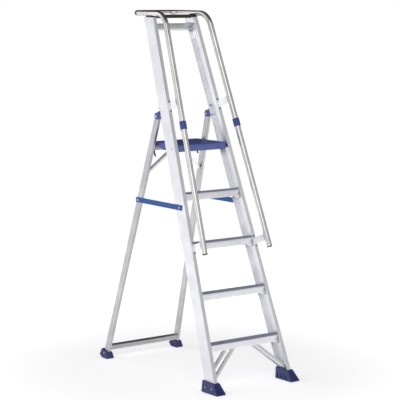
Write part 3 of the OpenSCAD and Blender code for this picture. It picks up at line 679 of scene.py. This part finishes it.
# outlines in mm: side views as (depth behind the stiles' feet, height), front views as
# (distance from the middle, height)
FRONT_SIDE = [(-22, 0), (94, 0), (98, 4), (105, 57), (15, 54), (-28, 5)]
FRONT_FACE = [(213, 0), (262, 0), (266, 4), (254.5, 58), (218, 58), (210, 4)]
REAR_SIDE = [(944, 0), (984, 0), (1012, 18), (1001, 49), (948, 35), (940, 4)]
REAR_FACE = [(212, 0), (250, 0), (254, 5), (245, 52), (217, 52), (208, 5)]
RECESS = (5.6 * MM, 12 * MM)     # radius and depth
for side, flip in SIDES:
    sign = 1 if side == "right" else -1
    ob = make("foot_front_%s_detail" % side, boot(FRONT_SIDE, FRONT_FACE), flip, M["foot"],
              "front_frame", bevel=2.2 * MM, segments=3,
              hides=["foot_front_" + side])
    cuts = []
    # pockets in the inner face, then grooves across the sole
    for k in range(4):
        y = SHIFT + (8 + 22 * k) * MM
        x = sorted((sign * 203 * MM, sign * 215.5 * MM))
        cuts.append(((x[0], y, 9 * MM), (x[1], y + 13 * MM, 44 * MM)))
    for k in range(6):
        y = SHIFT + (-12 + 16 * k) * MM
        x = sorted((sign * 200 * MM, sign * 280 * MM))
        cuts.append(((x[0], y, -1 * MM), (x[1], y + 4 * MM, 1.5 * MM)))
    carve(ob, cuts, [(flip @ Matrix.Translation((FRONT_RECESS_X, stile_y(FRONT_SCREW_Z, v),
                                                 FRONT_SCREW_Z)) @ OUT, *RECESS)
                     for v in FRONT_SCREW_VS])
    ob = make("foot_rear_%s_detail" % side, boot(REAR_SIDE, REAR_FACE), flip, M["foot"],
              "rear_frame", bevel=2.2 * MM, segments=3,
              hides=["foot_rear_" + side])
    x = sorted((sign * 203 * MM, sign * 213.5 * MM))
    carve(ob, [((x[0], SHIFT + y * MM, 9 * MM), (x[1], SHIFT + (y + 10) * MM, 32 * MM))
               for y in (955, 972)],
          [(flip @ Matrix.Translation((REAR_RECESS_X, leg_y(REAR_SCREW_Z, REAR_SCREW_W),
                                       REAR_SCREW_Z)) @ OUT, *RECESS)])

foot_screws("front", "front_frame",
            [(FRONT_SCREW_X, stile_y(FRONT_SCREW_Z, v), FRONT_SCREW_Z) for v in FRONT_SCREW_VS])
foot_screws("rear", "rear_frame",
            [(REAR_SCREW_X, leg_y(REAR_SCREW_Z, REAR_SCREW_W), REAR_SCREW_Z)])


# ---------------------------------------------------------------- rear frame
hinge_q = -(HINGE.y - LEG_Y0) * math.sin(REAR_LEAN) + HINGE.z * math.cos(REAR_LEAN)
r_end = 14 * MM
profile = [(0, -20 * MM), (LEG_D, -20 * MM), (LEG_D, hinge_q - 22 * MM)]
profile += [(LEG_D / 2 + r_end * math.cos(math.radians(a)),
             hinge_q + r_end * math.sin(math.radians(a))) for a in range(0, 181, 12)]
profile += [(0, hinge_q - 22 * MM)]
for side, flip in SIDES:
    bm = prism(profile, -LEG_W, 0)
    bm.transform(LAID)
    down = LEG.to_3x3().transposed() @ Vector((0, 0, -1))
    trim(bm, LEG.inverted() @ Vector((0, 0, LEG_LOW)), down)
    # the darker rear aluminium paints the shade on the legs
    make("rear_leg_%s_detail" % side, bm, flip @ LEG, M["rear"], "rear_frame",
         bevel=1.4 * MM, segments=3, hides=["rear_leg_" + side])


low_bar = [(0, 0), (34, 0), (34, 25), (32, 26), (4, 26), (0, 22), (0, 16), (0.8, 15), (0.8, 13),
           (0, 12)]
bm = trim_to_side(across(mm(low_bar), HALF_SPAN, LOWER_BAR_Z - 13 * MM,
                         leg_y(LOWER_BAR_Z, 1 * MM)), LEG, LEG_W)
c = Matrix.Translation((0, leg_y(LOWER_BAR_Z, 0), LOWER_BAR_Z))
bm.transform(c.inverted())
# the darker copy of the tread aluminium paints the shade on the rear crossbars
make("rear_crossbar_lower_detail", bm, c, M["tread_dark"], "rear_frame",
     bevel=1.0 * MM, segments=2, hides=["rear_crossbar_lower"])
bm = trim_to_side(across(rounded_rect(0, 0, 32 * MM, 27.6 * MM, 2 * MM), HALF_SPAN,
                         UPPER_BAR_Z - 13 * MM, leg_y(UPPER_BAR_Z, 1 * MM)), LEG, LEG_W)
c = Matrix.Translation((0, leg_y(UPPER_BAR_Z, 0), UPPER_BAR_Z))
bm.transform(c.inverted())
make("rear_crossbar_upper_detail", bm, c, M["tread_dark"], "rear_frame",
     hides=["rear_crossbar_upper"])

# shares of the width and of the depth, with two grooves along the back
CHANNEL = [(0, 0.02), (0.02, 0), (0.16, 0), (0.165, 0.07), (0.215, 0.07), (0.22, 0), (0.78, 0),
           (0.785, 0.07), (0.835, 0.07), (0.84, 0), (0.98, 0), (1, 0.02), (1, 1), (0.86, 1),
           (0.86, 0.2), (0.14, 0.2), (0.14, 1), (0, 1)]


def channel(width, depth, a, b):
    """U-channel along x from a to b: width along z, open towards +y."""
    bm = prism([(w * width - width / 2, d * depth) for w, d in CHANNEL], a, b)
    bm.transform(LAID_CHANNEL)
    return bm


knee_q, knee_turn, brace_turn = 1060 * MM, math.radians(42.5), math.radians(41.5)
knee_reach = (-230 * MM, 30 * MM)          # both reach past their trimming planes
brace_reach = (-260 * MM, 15 * MM)
for side, flip in SIDES:
    start = REAR @ Matrix.Translation((leg_half(knee_q) - LEG_W, 10 * MM, knee_q)) \
        @ Matrix.Rotation(knee_turn, 4, "Y")
    bm = prism(mm([(-6, 0), (6, 0), (6, 16), (4.4, 16), (4.4, 1.8), (-4.4, 1.8), (-4.4, 16),
                   (-6, 16)]), *knee_reach)
    bm.transform(LAID_CHANNEL)
    bm.transform(start)
    trim(bm, Vector((0, 0, UPPER_BAR_Z - 13.1 * MM)), Vector((0, 0, 1)))
    trim(bm, LEG @ Vector((-LEG_W, 0, 0)), LEG.to_3x3() @ Vector((1, 0, 0)))
    bm.transform(start.inverted())
    make("knee_brace_%s_detail" % side, bm, flip @ start, M["plate"], "rear_frame",
         bevel=0.6 * MM, segments=2, hides=["knee_brace_" + side])
    # v and u in mm: where a brace starts, behind the stile's face and along it
    for v, u, z_end, label in ((12, 66, TREAD_Z[0] - TREAD_H, "front"),
                               (59.5, 81, TREAD_Z[0] - 26 * MM, "rear")):
        start = FRONT @ Matrix.Translation((242 * MM, v * MM, u * MM)) \
            @ Matrix.Rotation(brace_turn, 4, "Y")
        bm = channel(16 * MM, 11 * MM, *brace_reach)
        bm.transform(start)
        trim(bm, STILE @ Vector((-STILE_W, 0, 0)), STILE.to_3x3() @ Vector((1, 0, 0)))
        trim(bm, Vector((0, 0, z_end)), Vector((0, 0, 1)))
        bm.transform(start.inverted())
        make("brace_%s_%s_detail" % (label, side), bm, flip @ start, M["plate"], "front_frame",
             bevel=0.6 * MM, segments=2, hides=["brace_%s_%s" % (label, side)])


# ---------------------------------------------------------------- straps
strap_gap, strap_tilt = 0.9 * MM, math.radians(3.2)
stile_x = half_width(along(STRAP_Z, 40 * MM)) + strap_gap
leg_x = leg_half(leg_along(STRAP_Z, 20 * MM)) + strap_gap
y_a = stile_y(STRAP_Z, 42 * MM) - 22 * MM
y_b = stile_y(STRAP_Z, STILE_D) + 4 * MM
y_c = leg_y(STRAP_Z, 0) - 8 * MM
y_d = leg_y(STRAP_Z, 26 * MM) + 15 * MM
corners = [Vector((stile_x, y_a, 0)), Vector((stile_x, y_b, 0)), Vector((leg_x, y_c, 0)),
           Vector((leg_x, y_d, 0))]
line = []
for a, b in zip(corners, corners[1:]):
    steps = max(2, int((b - a).length / (6 * MM)))
    line += [a + (b - a) * (k / steps) for k in range(steps)]
line.append(corners[-1])
t_strap = 1.6 * MM
edge = 13.5 * MM
cross = [(0, -edge + 0.8 * MM), (0.4 * MM, -edge), (t_strap - 0.4 * MM, -edge),
         (t_strap, -edge + 0.8 * MM), (t_strap, -edge + 3 * MM), (t_strap + 0.25 * MM, 0),
         (t_strap, edge - 3 * MM), (t_strap, edge - 0.8 * MM), (t_strap - 0.4 * MM, edge),
         (0.4 * MM, edge), (0, edge - 0.8 * MM)]
for side, flip in SIDES:
    rings = [[Vector((p.x + o, p.y, h)) for o, h in cross] for p in line]
    bm = rings_to_mesh(rings)
    # rows of stitching across both ends
    for y in (y_a + 6 * MM, y_a + 34 * MM, y_d - 6 * MM, y_d - 26 * MM):
        x = stile_x if y < y_b else leg_x
        for k in range(7):
            z = (-9 + 3 * k) * MM
            add_box(bm, (x + t_strap, y, z - 0.9 * MM), (x + t_strap + 0.5 * MM, y + 0.8 * MM,
                                                         z + 0.9 * MM))
    end_x = stile_x - strap_gap
    place = Matrix.Translation((end_x, 0, STRAP_Z)) \
        @ Matrix.Rotation(-strap_tilt, 4, "Y") @ Matrix.Translation((-end_x, 0, 0))
    ob = make("strap_%s_detail" % side, bm, flip @ place, M["webbing"], None,
              hides=["strap_" + side])
    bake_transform(ob)


# ---------------------------------------------------------------- rail brackets
for side, flip in SIDES:
    for label in ("upper", "lower"):
        spot = STILE @ Matrix.Translation((0, 0, BRACKET_U[label] * MM))
        bm = bmesh.new()
        add_box(bm, (-20 * MM, -2.6 * MM, -31 * MM), (-4 * MM, -0.1 * MM, 31 * MM))
        add_box(bm, (-15 * MM, -82.5 * MM, -16 * MM), (-11.8 * MM, -2 * MM, 16 * MM))
        # half a ring behind the tube
        ring = []
        r0, r1 = TUBE_R + 0.1 * MM, TUBE_R + 2.4 * MM
        for r, order in ((r0, range(0, 181, 12)), (r1, range(180, -1, -12))):
            for a in order:
                ring.append((-TUBE_IN + r * math.cos(math.radians(a)),
                             -TUBE_OUT + 3 * MM + r * math.sin(math.radians(a))))
        join_bm(bm, prism(ring, -16 * MM, 16 * MM))
        make("rail_bracket_%s_%s_detail" % (label, side), bm, flip @ spot, M["plate"],
             "front_frame", bevel=0.5 * MM, segments=2,
             hides=["rail_bracket_%s_%s" % (label, side)])


# ---------------------------------------------------------------- hinge brackets
def cheek():
    """Side view of a cheek about the hinge: depth behind the stile's face, height."""
    b = (STILE_D + 0.1 * MM) / MM
    v = hinge_v / MM
    pts = [(b, -23), (b + 6, -23)]
    pts += [(v + 15.5 * math.cos(math.radians(a)), 15.5 * math.sin(math.radians(a)))
            for a in range(-70, 51, 12)]
    return mm(pts + [(v + 6, 13.5), (v + 8, 16), (v + 6, 19), (b + 9, 17), (b, 19)])


hinge_u = along(HINGE.z, hinge_v)
# mm from the middle: cheeks, plate, tab and pin; then heights about the hinge
cheek_xs, cheek_t = (147.7, 170.2), 4.3
plate_x0, plate_x1, tab_x1, pin_x = 151, 171.2, 166.5, 146.7
plate_low, plate_top, tab_top, plate_t = -23, 19, 43, 4 * MM
for side, flip in SIDES:
    spot = FRONT @ Matrix.Translation((0, 0, hinge_u))
    bm = bmesh.new()
    for x0 in cheek_xs:
        join_bm(bm, prism(cheek(), x0 * MM, (x0 + cheek_t) * MM), LAID)
    b = STILE_D + 0.1 * MM
    add_box(bm, (plate_x0 * MM, b, plate_low * MM),
            (plate_x1 * MM, b + plate_t, plate_top * MM))
    add_box(bm, (plate_x0 * MM, b, (plate_top - 1) * MM),
            (tab_x1 * MM, b + plate_t, tab_top * MM))
    make("hinge_bracket_%s_detail" % side, bm, flip @ spot, M["deep_blue"], "front_frame",
         bevel=0.8 * MM, segments=3, hides=["hinge_bracket_" + side])
    pin = solid_turned([(0, -1.2 * MM), (4.2 * MM, -1.2 * MM), (5 * MM, -0.4 * MM),
                        (5 * MM, 28.8 * MM), (7.5 * MM, 28.8 * MM), (7.5 * MM, 30 * MM),
                        (6.4 * MM, 31 * MM), (3 * MM, 31.5 * MM), (2.4 * MM, 30.9 * MM),
                        (0, 30.8 * MM)], 36)
    make("hinge_pin_%s_detail" % side, pin,
         flip @ Matrix.Translation((pin_x * MM, HINGE.y, HINGE.z)) @ OUT, M["hardware"],
         "front_frame", hides=["hinge_pin_" + side])


# ---------------------------------------------------------------- top of the stiles
def bar_across(v, u, width, height):
    """Rectangular bar across the ladder, square to the front frame."""
    bm = prism(rounded_rect(v, u, v + width, u + height, 1.6 * MM), -200 * MM, 200 * MM)
    bm.transform(FRONT @ LAID)
    return trim_to_side(bm, STILE, STILE_W)


bar_v = 40 * MM
bar_u = along(1758 * MM, bar_v)
c = FRONT @ Matrix.Translation((0, bar_v, bar_u))
bm = bar_across(bar_v, bar_u, 28 * MM, 32 * MM)
bm.transform(c.inverted())
# the darker bar aluminium paints the shade inside the stiles' channels
make("top_crossbar_detail", bm, c, M["bar"], "front_frame", hides=["top_crossbar"])

mount_low_z = 1789.6 * MM
for side, flip in SIDES:
    bm = bmesh.new()
    a, b = -STILE_F + 0.5 * MM, -STILE_W - 0.1 * MM
    v0, v1 = STILE_W + 1.6 * MM, STILE_D - STILE_W - 1.6 * MM
    add_box(bm, (a, v0, 1800 * MM), (b, v1, 2050 * MM))
    for z, n in ((mount_low_z, -1), (STILE_TOP - 0.1 * MM, 1)):
        trim(bm, STILE.inverted() @ Vector((0, 0, z)),
             STILE.to_3x3().transposed() @ Vector((0, 0, n)))
    make("rail_mount_%s_detail" % side, bm, flip @ STILE, M["plate"], "front_frame",
         bevel=1.2 * MM, segments=3, hides=["rail_mount_" + side])

# saddle: a middle, two lower ends, a lip between the stiles and raised ribs
x_tube = abs(corner.x)
x_mid, x_end, x_lip = x_tube - 13 * MM, x_tube + 10 * MM, 108 * MM
y0 = stile_y(STILE_TOP, 8 * MM)
y1 = y0 + 46 * MM
foot_z = STILE_TOP + 0.1 * MM
bm = bmesh.new()
add_box(bm, (-x_mid, y0, foot_z), (x_mid, y1, STILE_TOP + 9 * MM))
for s in (1, -1):
    xs = sorted((s * x_mid, s * x_end))
    add_box(bm, (xs[0], y0, foot_z), (xs[1], y1, STILE_TOP + 7 * MM))
add_box(bm, (-x_lip, y0, STILE_TOP - 5 * MM), (x_lip, y1, foot_z))
for k in range(9):
    x = (-94 + 23 * k) * MM
    add_box(bm, (x, y0 + 3 * MM, STILE_TOP + 9 * MM),
            (x + 4 * MM, y1 - 3 * MM, STILE_TOP + 11.8 * MM))
c = Matrix.Translation((0, y0, STILE_TOP))
bm.transform(c.inverted())
make("top_saddle_detail", bm, c, M["satin_black"], "front_frame",
     bevel=0.8 * MM, segments=2, hides=["top_saddle"])


# ---------------------------------------------------------------- rivets, bolts and pins
def rivet(r, h):
    """Domed head with a small dimple, its foot at z = 0."""
    dimple = 0.35
    pts = [(0, -1.2 * MM), (r * 0.8, -1.2 * MM), (r, 0), (r, h * 0.25), (r * 0.88, h * 0.68),
           (r * 0.62, h), (r * dimple, h), (r * dimple * 0.8, h * 0.55), (0, h * 0.5)]
    return solid_turned(pts, 28)


def set_of(name, spots, piece, material, body, hides):
    """One object made of the same small piece at every spot, on both sides."""
    both = bmesh.new()
    for spot in spots:
        for flip in BOTH:
            join_bm(both, piece(), flip @ spot)
    origin = spots[0].to_translation()
    c = Matrix.Translation((0, origin.y, origin.z))
    both.transform(c.inverted())
    return make(name, both, c, material, body, hides=hides)


set_of("rail_mount_rivets_detail",
       [STILE @ Matrix.Translation((0, v * MM, along(z * MM, v * MM) / CF)) @ OUT
        for v, z in ((64, 1802), (17, 1800))],
       lambda: rivet(3.8 * MM, 1.6 * MM), M["hardware"], "front_frame",
       ["rail_mount_rivets"])
set_of("strap_rivets_front_detail",
       [STILE @ Matrix.Translation((3.3 * MM, 42 * MM, along(STRAP_Z, 42 * MM) / CF)) @ OUT],
       lambda: rivet(5.5 * MM, 1.7 * MM), M["hardware"], "front_frame",
       ["strap_rivets_front"])
set_of("strap_rivets_rear_detail",
       [LEG @ Matrix.Translation((3.3 * MM, 24 * MM, leg_along(STRAP_Z, 24 * MM))) @ OUT],
       lambda: rivet(5.5 * MM, 1.7 * MM), M["hardware"], "rear_frame",
       ["strap_rivets_rear"])
behind = Matrix.Rotation(-math.pi / 2, 4, "X")
spots = []
for du in (-15, 35):
    at = FRONT @ Matrix.Translation((161 * MM, STILE_D, hinge_u + du * MM)) @ behind
    spots += [at @ Matrix.Translation((0, 0, 4.15 * MM)),
              at @ Matrix.Translation((0, 0, -2.6 * MM)) @ Matrix.Rotation(math.pi, 4, "X")]
set_of("hinge_bracket_rivets_detail", spots, lambda: rivet(4.5 * MM, 1.8 * MM), M["dark_steel"],
       "front_frame", ["hinge_bracket_rivets"])
ahead = Matrix.Rotation(math.pi / 2, 4, "X")
bolt_spots = [STILE @ Matrix.Translation((-13.2 * MM, -2.65 * MM, (u + du) * MM)) @ ahead
              for u in BRACKET_U.values() for du in (-25.5, 25.5)]
set_of("rail_bracket_bolts_detail", bolt_spots,
       lambda: solid_turned([(0, -1 * MM), (4.6 * MM, -1 * MM), (4.6 * MM, 0.4 * MM),
                             (4.2 * MM, 2.2 * MM), (3.0 * MM, 3.3 * MM), (2.2 * MM, 3.4 * MM),
                             (2.0 * MM, 1.4 * MM), (0, 1.2 * MM)], 24),
       M["dark_steel"], "front_frame", ["rail_bracket_bolts"])
for side, flip in SIDES:
    pin_u = along(PIVOT.z, PIVOT_V) / CF
    head = rivet(6.5 * MM, 1.6 * MM)
    make("platform_pin_%s_detail" % side, head,
         flip @ STILE @ Matrix.Translation((0, PIVOT_V, pin_u)) @ OUT, M["hardware"],
         "front_frame", hides=["platform_pin_" + side])
    x0 = deck_hi.x + 0.6 * MM
    length = half_width(along(PIVOT.z, PIVOT_V)) - STILE_W - 0.2 * MM - x0
    bush = solid_turned([(0, 0), (8 * MM, 0), (9 * MM, 1 * MM), (9 * MM, length - 1 * MM),
                         (8 * MM, length), (0, length)], 36)
    make("platform_bush_%s_detail" % side, bush,
         flip @ Matrix.Translation((x0, PIVOT.y, PIVOT.z)) @ OUT, M["black"], "front_frame",
         hides=["platform_bush_" + side])

hook = mm([(1, 0), (7, 0), (7, -40), (3, -50), (-7, -64), (-10, -62), (1, -44)])
both = bmesh.new()
for flip in BOTH:
    join_bm(both, prism(hook, 0, 8 * MM), flip @ Matrix.Translation((134 * MM, 0, 0)) @ LAID)
c = Matrix.Translation((0, leg_y(UPPER_BAR_Z, 1 * MM) + 34 * MM, deck_hi.z - 14 * MM))
make("platform_catches_detail", both, c, M["black"], "platform",
     bevel=0.9 * MM, segments=3, hides=["platform_catches"])

# cleats under the tread ends, in the darker bar aluminium: painted shade under the tread ends
for i, z in enumerate(TREAD_Z):
    bm = across(mm([(4, 13.9), (40, 13.9), (46, 0), (16, 0)]), HALF_SPAN,
                z - TREAD_H - 14 * MM, stile_y(z, TREAD_V))
    trim_to_side(bm, STILE, STILE_W)
    # keeps only the two ends, beside the stiles
    left = bm.copy()
    n = STILE.to_3x3() @ Vector((1, 0, 0))
    p = STILE @ Vector((-STILE_F + 3 * MM, 0, 0))
    trim(bm, p, -n)
    n.x *= -1
    trim(left, Vector((-p.x, p.y, p.z)), -n)
    join_bm(bm, left)
    c = Matrix.Translation((0, stile_y(z, 20 * MM), z - TREAD_H))
    bm.transform(c.inverted())
    make("tread_cleat_%d_detail" % (i + 1), bm, c, M["bar"], "front_frame",
         bevel=0.8 * MM, segments=2, hides=["tread_cleats"] if i == 0 else ())


# ---------------------------------------------------------------- stage, light, camera
def area(name, loc, target, size, power):
    """Square area light aimed at a target."""
    d = bpy.data.lights.new(name, "AREA")
    d.energy = power
    d.size = size
    o = bpy.data.objects.new(name, d)
    bpy.context.scene.collection.objects.link(o)
    o.location = loc
    o.rotation_euler = (Vector(target) - Vector(loc)).to_track_quat("-Z", "Y").to_euler()
    return o


bm = bmesh.new()
bmesh.ops.create_circle(bm, cap_ends=True, radius=4.0, segments=96)
me = bpy.data.meshes.new("floor")
bm.to_mesh(me)
bm.free()
floor = bpy.data.objects.new("floor", me)
bpy.context.scene.collection.objects.link(floor)
m, nt, b = new_material("floor_pale")
b.inputs["Base Color"].default_value = (0.95, 0.95, 0.95, 1)
b.inputs["Roughness"].default_value = 0.9
b.inputs["Emission Color"].default_value = (1, 1, 1, 1)
tc = nt.nodes.new("ShaderNodeTexCoord")
far = nt.nodes.new("ShaderNodeVectorMath")
far.operation = "LENGTH"
nt.links.new(tc.outputs["Object"], far.inputs[0])
glow = nt.nodes.new("ShaderNodeMapRange")
glow.interpolation_type = "SMOOTHSTEP"
for socket, value in (("From Min", 0.5), ("From Max", 2.2), ("To Min", 0.6), ("To Max", 1.0)):
    glow.inputs[socket].default_value = value
nt.links.new(far.outputs["Value"], glow.inputs["Value"])
nt.links.new(glow.outputs["Result"], b.inputs["Emission Strength"])
me.materials.append(m)


def studio_world():
    """White to the eye; in reflections, pale walls, a dark gap opposite the camera, a dark top."""
    w = bpy.data.worlds.new("studio")
    bpy.context.scene.world = w
    w.use_nodes = True
    nt = w.node_tree
    nt.nodes.clear()
    n, link = nt.nodes.new, nt.links.new
    tc = n("ShaderNodeTexCoord")
    turn_node = n("ShaderNodeMapping")
    turn_node.vector_type = "POINT"
    turn_node.inputs["Rotation"].default_value = (0, 0, math.radians(37.6))
    link(tc.outputs["Generated"], turn_node.inputs["Vector"])
    sep = n("ShaderNodeSeparateXYZ")
    link(turn_node.outputs["Vector"], sep.inputs["Vector"])
    angle = n("ShaderNodeMath")
    angle.operation = "ARCTAN2"
    link(sep.outputs["X"], angle.inputs[0])
    link(sep.outputs["Y"], angle.inputs[1])
    part = n("ShaderNodeMapRange")
    part.inputs["From Min"].default_value = -math.pi
    part.inputs["From Max"].default_value = math.pi
    link(angle.outputs[0], part.inputs["Value"])
    walls = ramp(nt, part.outputs["Result"], WALLS)
    top = ramp(nt, sep.outputs["Z"], TOP)
    mix = n("ShaderNodeMix")
    mix.data_type = "RGBA"
    mix.blend_type = "MULTIPLY"
    mix.inputs["Factor"].default_value = 1.0
    link(walls, mix.inputs["A"])
    link(top, mix.inputs["B"])
    seen = n("ShaderNodeBackground")
    seen.inputs["Color"].default_value = (1, 1, 1, 1)
    lit = n("ShaderNodeBackground")
    lit.inputs["Strength"].default_value = 1.0
    link(mix.outputs["Result"], lit.inputs["Color"])
    path = n("ShaderNodeLightPath")
    both = n("ShaderNodeMixShader")
    out = n("ShaderNodeOutputWorld")
    link(path.outputs["Is Camera Ray"], both.inputs["Fac"])
    link(lit.outputs[0], both.inputs[1])
    link(seen.outputs[0], both.inputs[2])
    link(both.outputs[0], out.inputs["Surface"])


def grey(v):
    """A faintly cool grey."""
    return (v, v, v * 1.02)


# share of a full turn, from straight towards the camera, through the far side, and back
WALLS = [(0.0, grey(1.0)), (0.055, grey(1.0)), (0.085, grey(0.55)), (0.125, grey(0.55)),
         (0.16, grey(0.95)), (0.24, grey(1.0)), (0.27, grey(1.28)), (0.315, grey(1.28)),
         (0.35, grey(0.12)), (0.5, grey(0.05)), (0.66, grey(0.05)), (0.72, grey(0.52)),
         (0.82, grey(0.68)), (0.865, grey(0.32)), (0.91, grey(0.45)), (0.95, grey(1.0)),
         (1.0, grey(1.0))]
# height of the direction looked in, from level to straight up
TOP = [(0.0, (1, 1, 1)), (0.48, (1, 1, 1)), (0.72, (0.34, 0.33, 0.34)), (1.0, (0.16, 0.16, 0.17))]
studio_world()
area("key", (-3.5, -4.0, 4.5), (0, 0, 0.9), 4.0, 40)
area("fill", (4.5, -2.5, 3.0), (0, 0, 0.9), 3.0, 6)

# from the perspective fit to the photograph: place, lens and turns
CAMERA_AT, LENS, SENSOR, CLIP_END = (-4.966, SHIFT - 5.988, 1.996), 144.2, 36, 60
azimuth, tilt, roll = math.radians(37.59), math.radians(-7.72), math.radians(0.33)
cam = bpy.data.cameras.new("camera")
cam.lens = LENS
cam.sensor_width = SENSOR
cam.clip_end = CLIP_END
camera = bpy.data.objects.new("camera", cam)
bpy.context.scene.collection.objects.link(camera)
camera.location = CAMERA_AT
look = Vector((math.sin(azimuth) * math.cos(tilt), math.cos(azimuth) * math.cos(tilt),
               math.sin(tilt)))
camera.rotation_mode = "QUATERNION"
camera.rotation_quaternion = look.to_track_quat("-Z", "Y") @ Matrix.Rotation(
    roll, 3, "Z").to_quaternion()
bpy.context.scene.camera = camera
bpy.context.scene.view_settings.view_transform = "Standard"
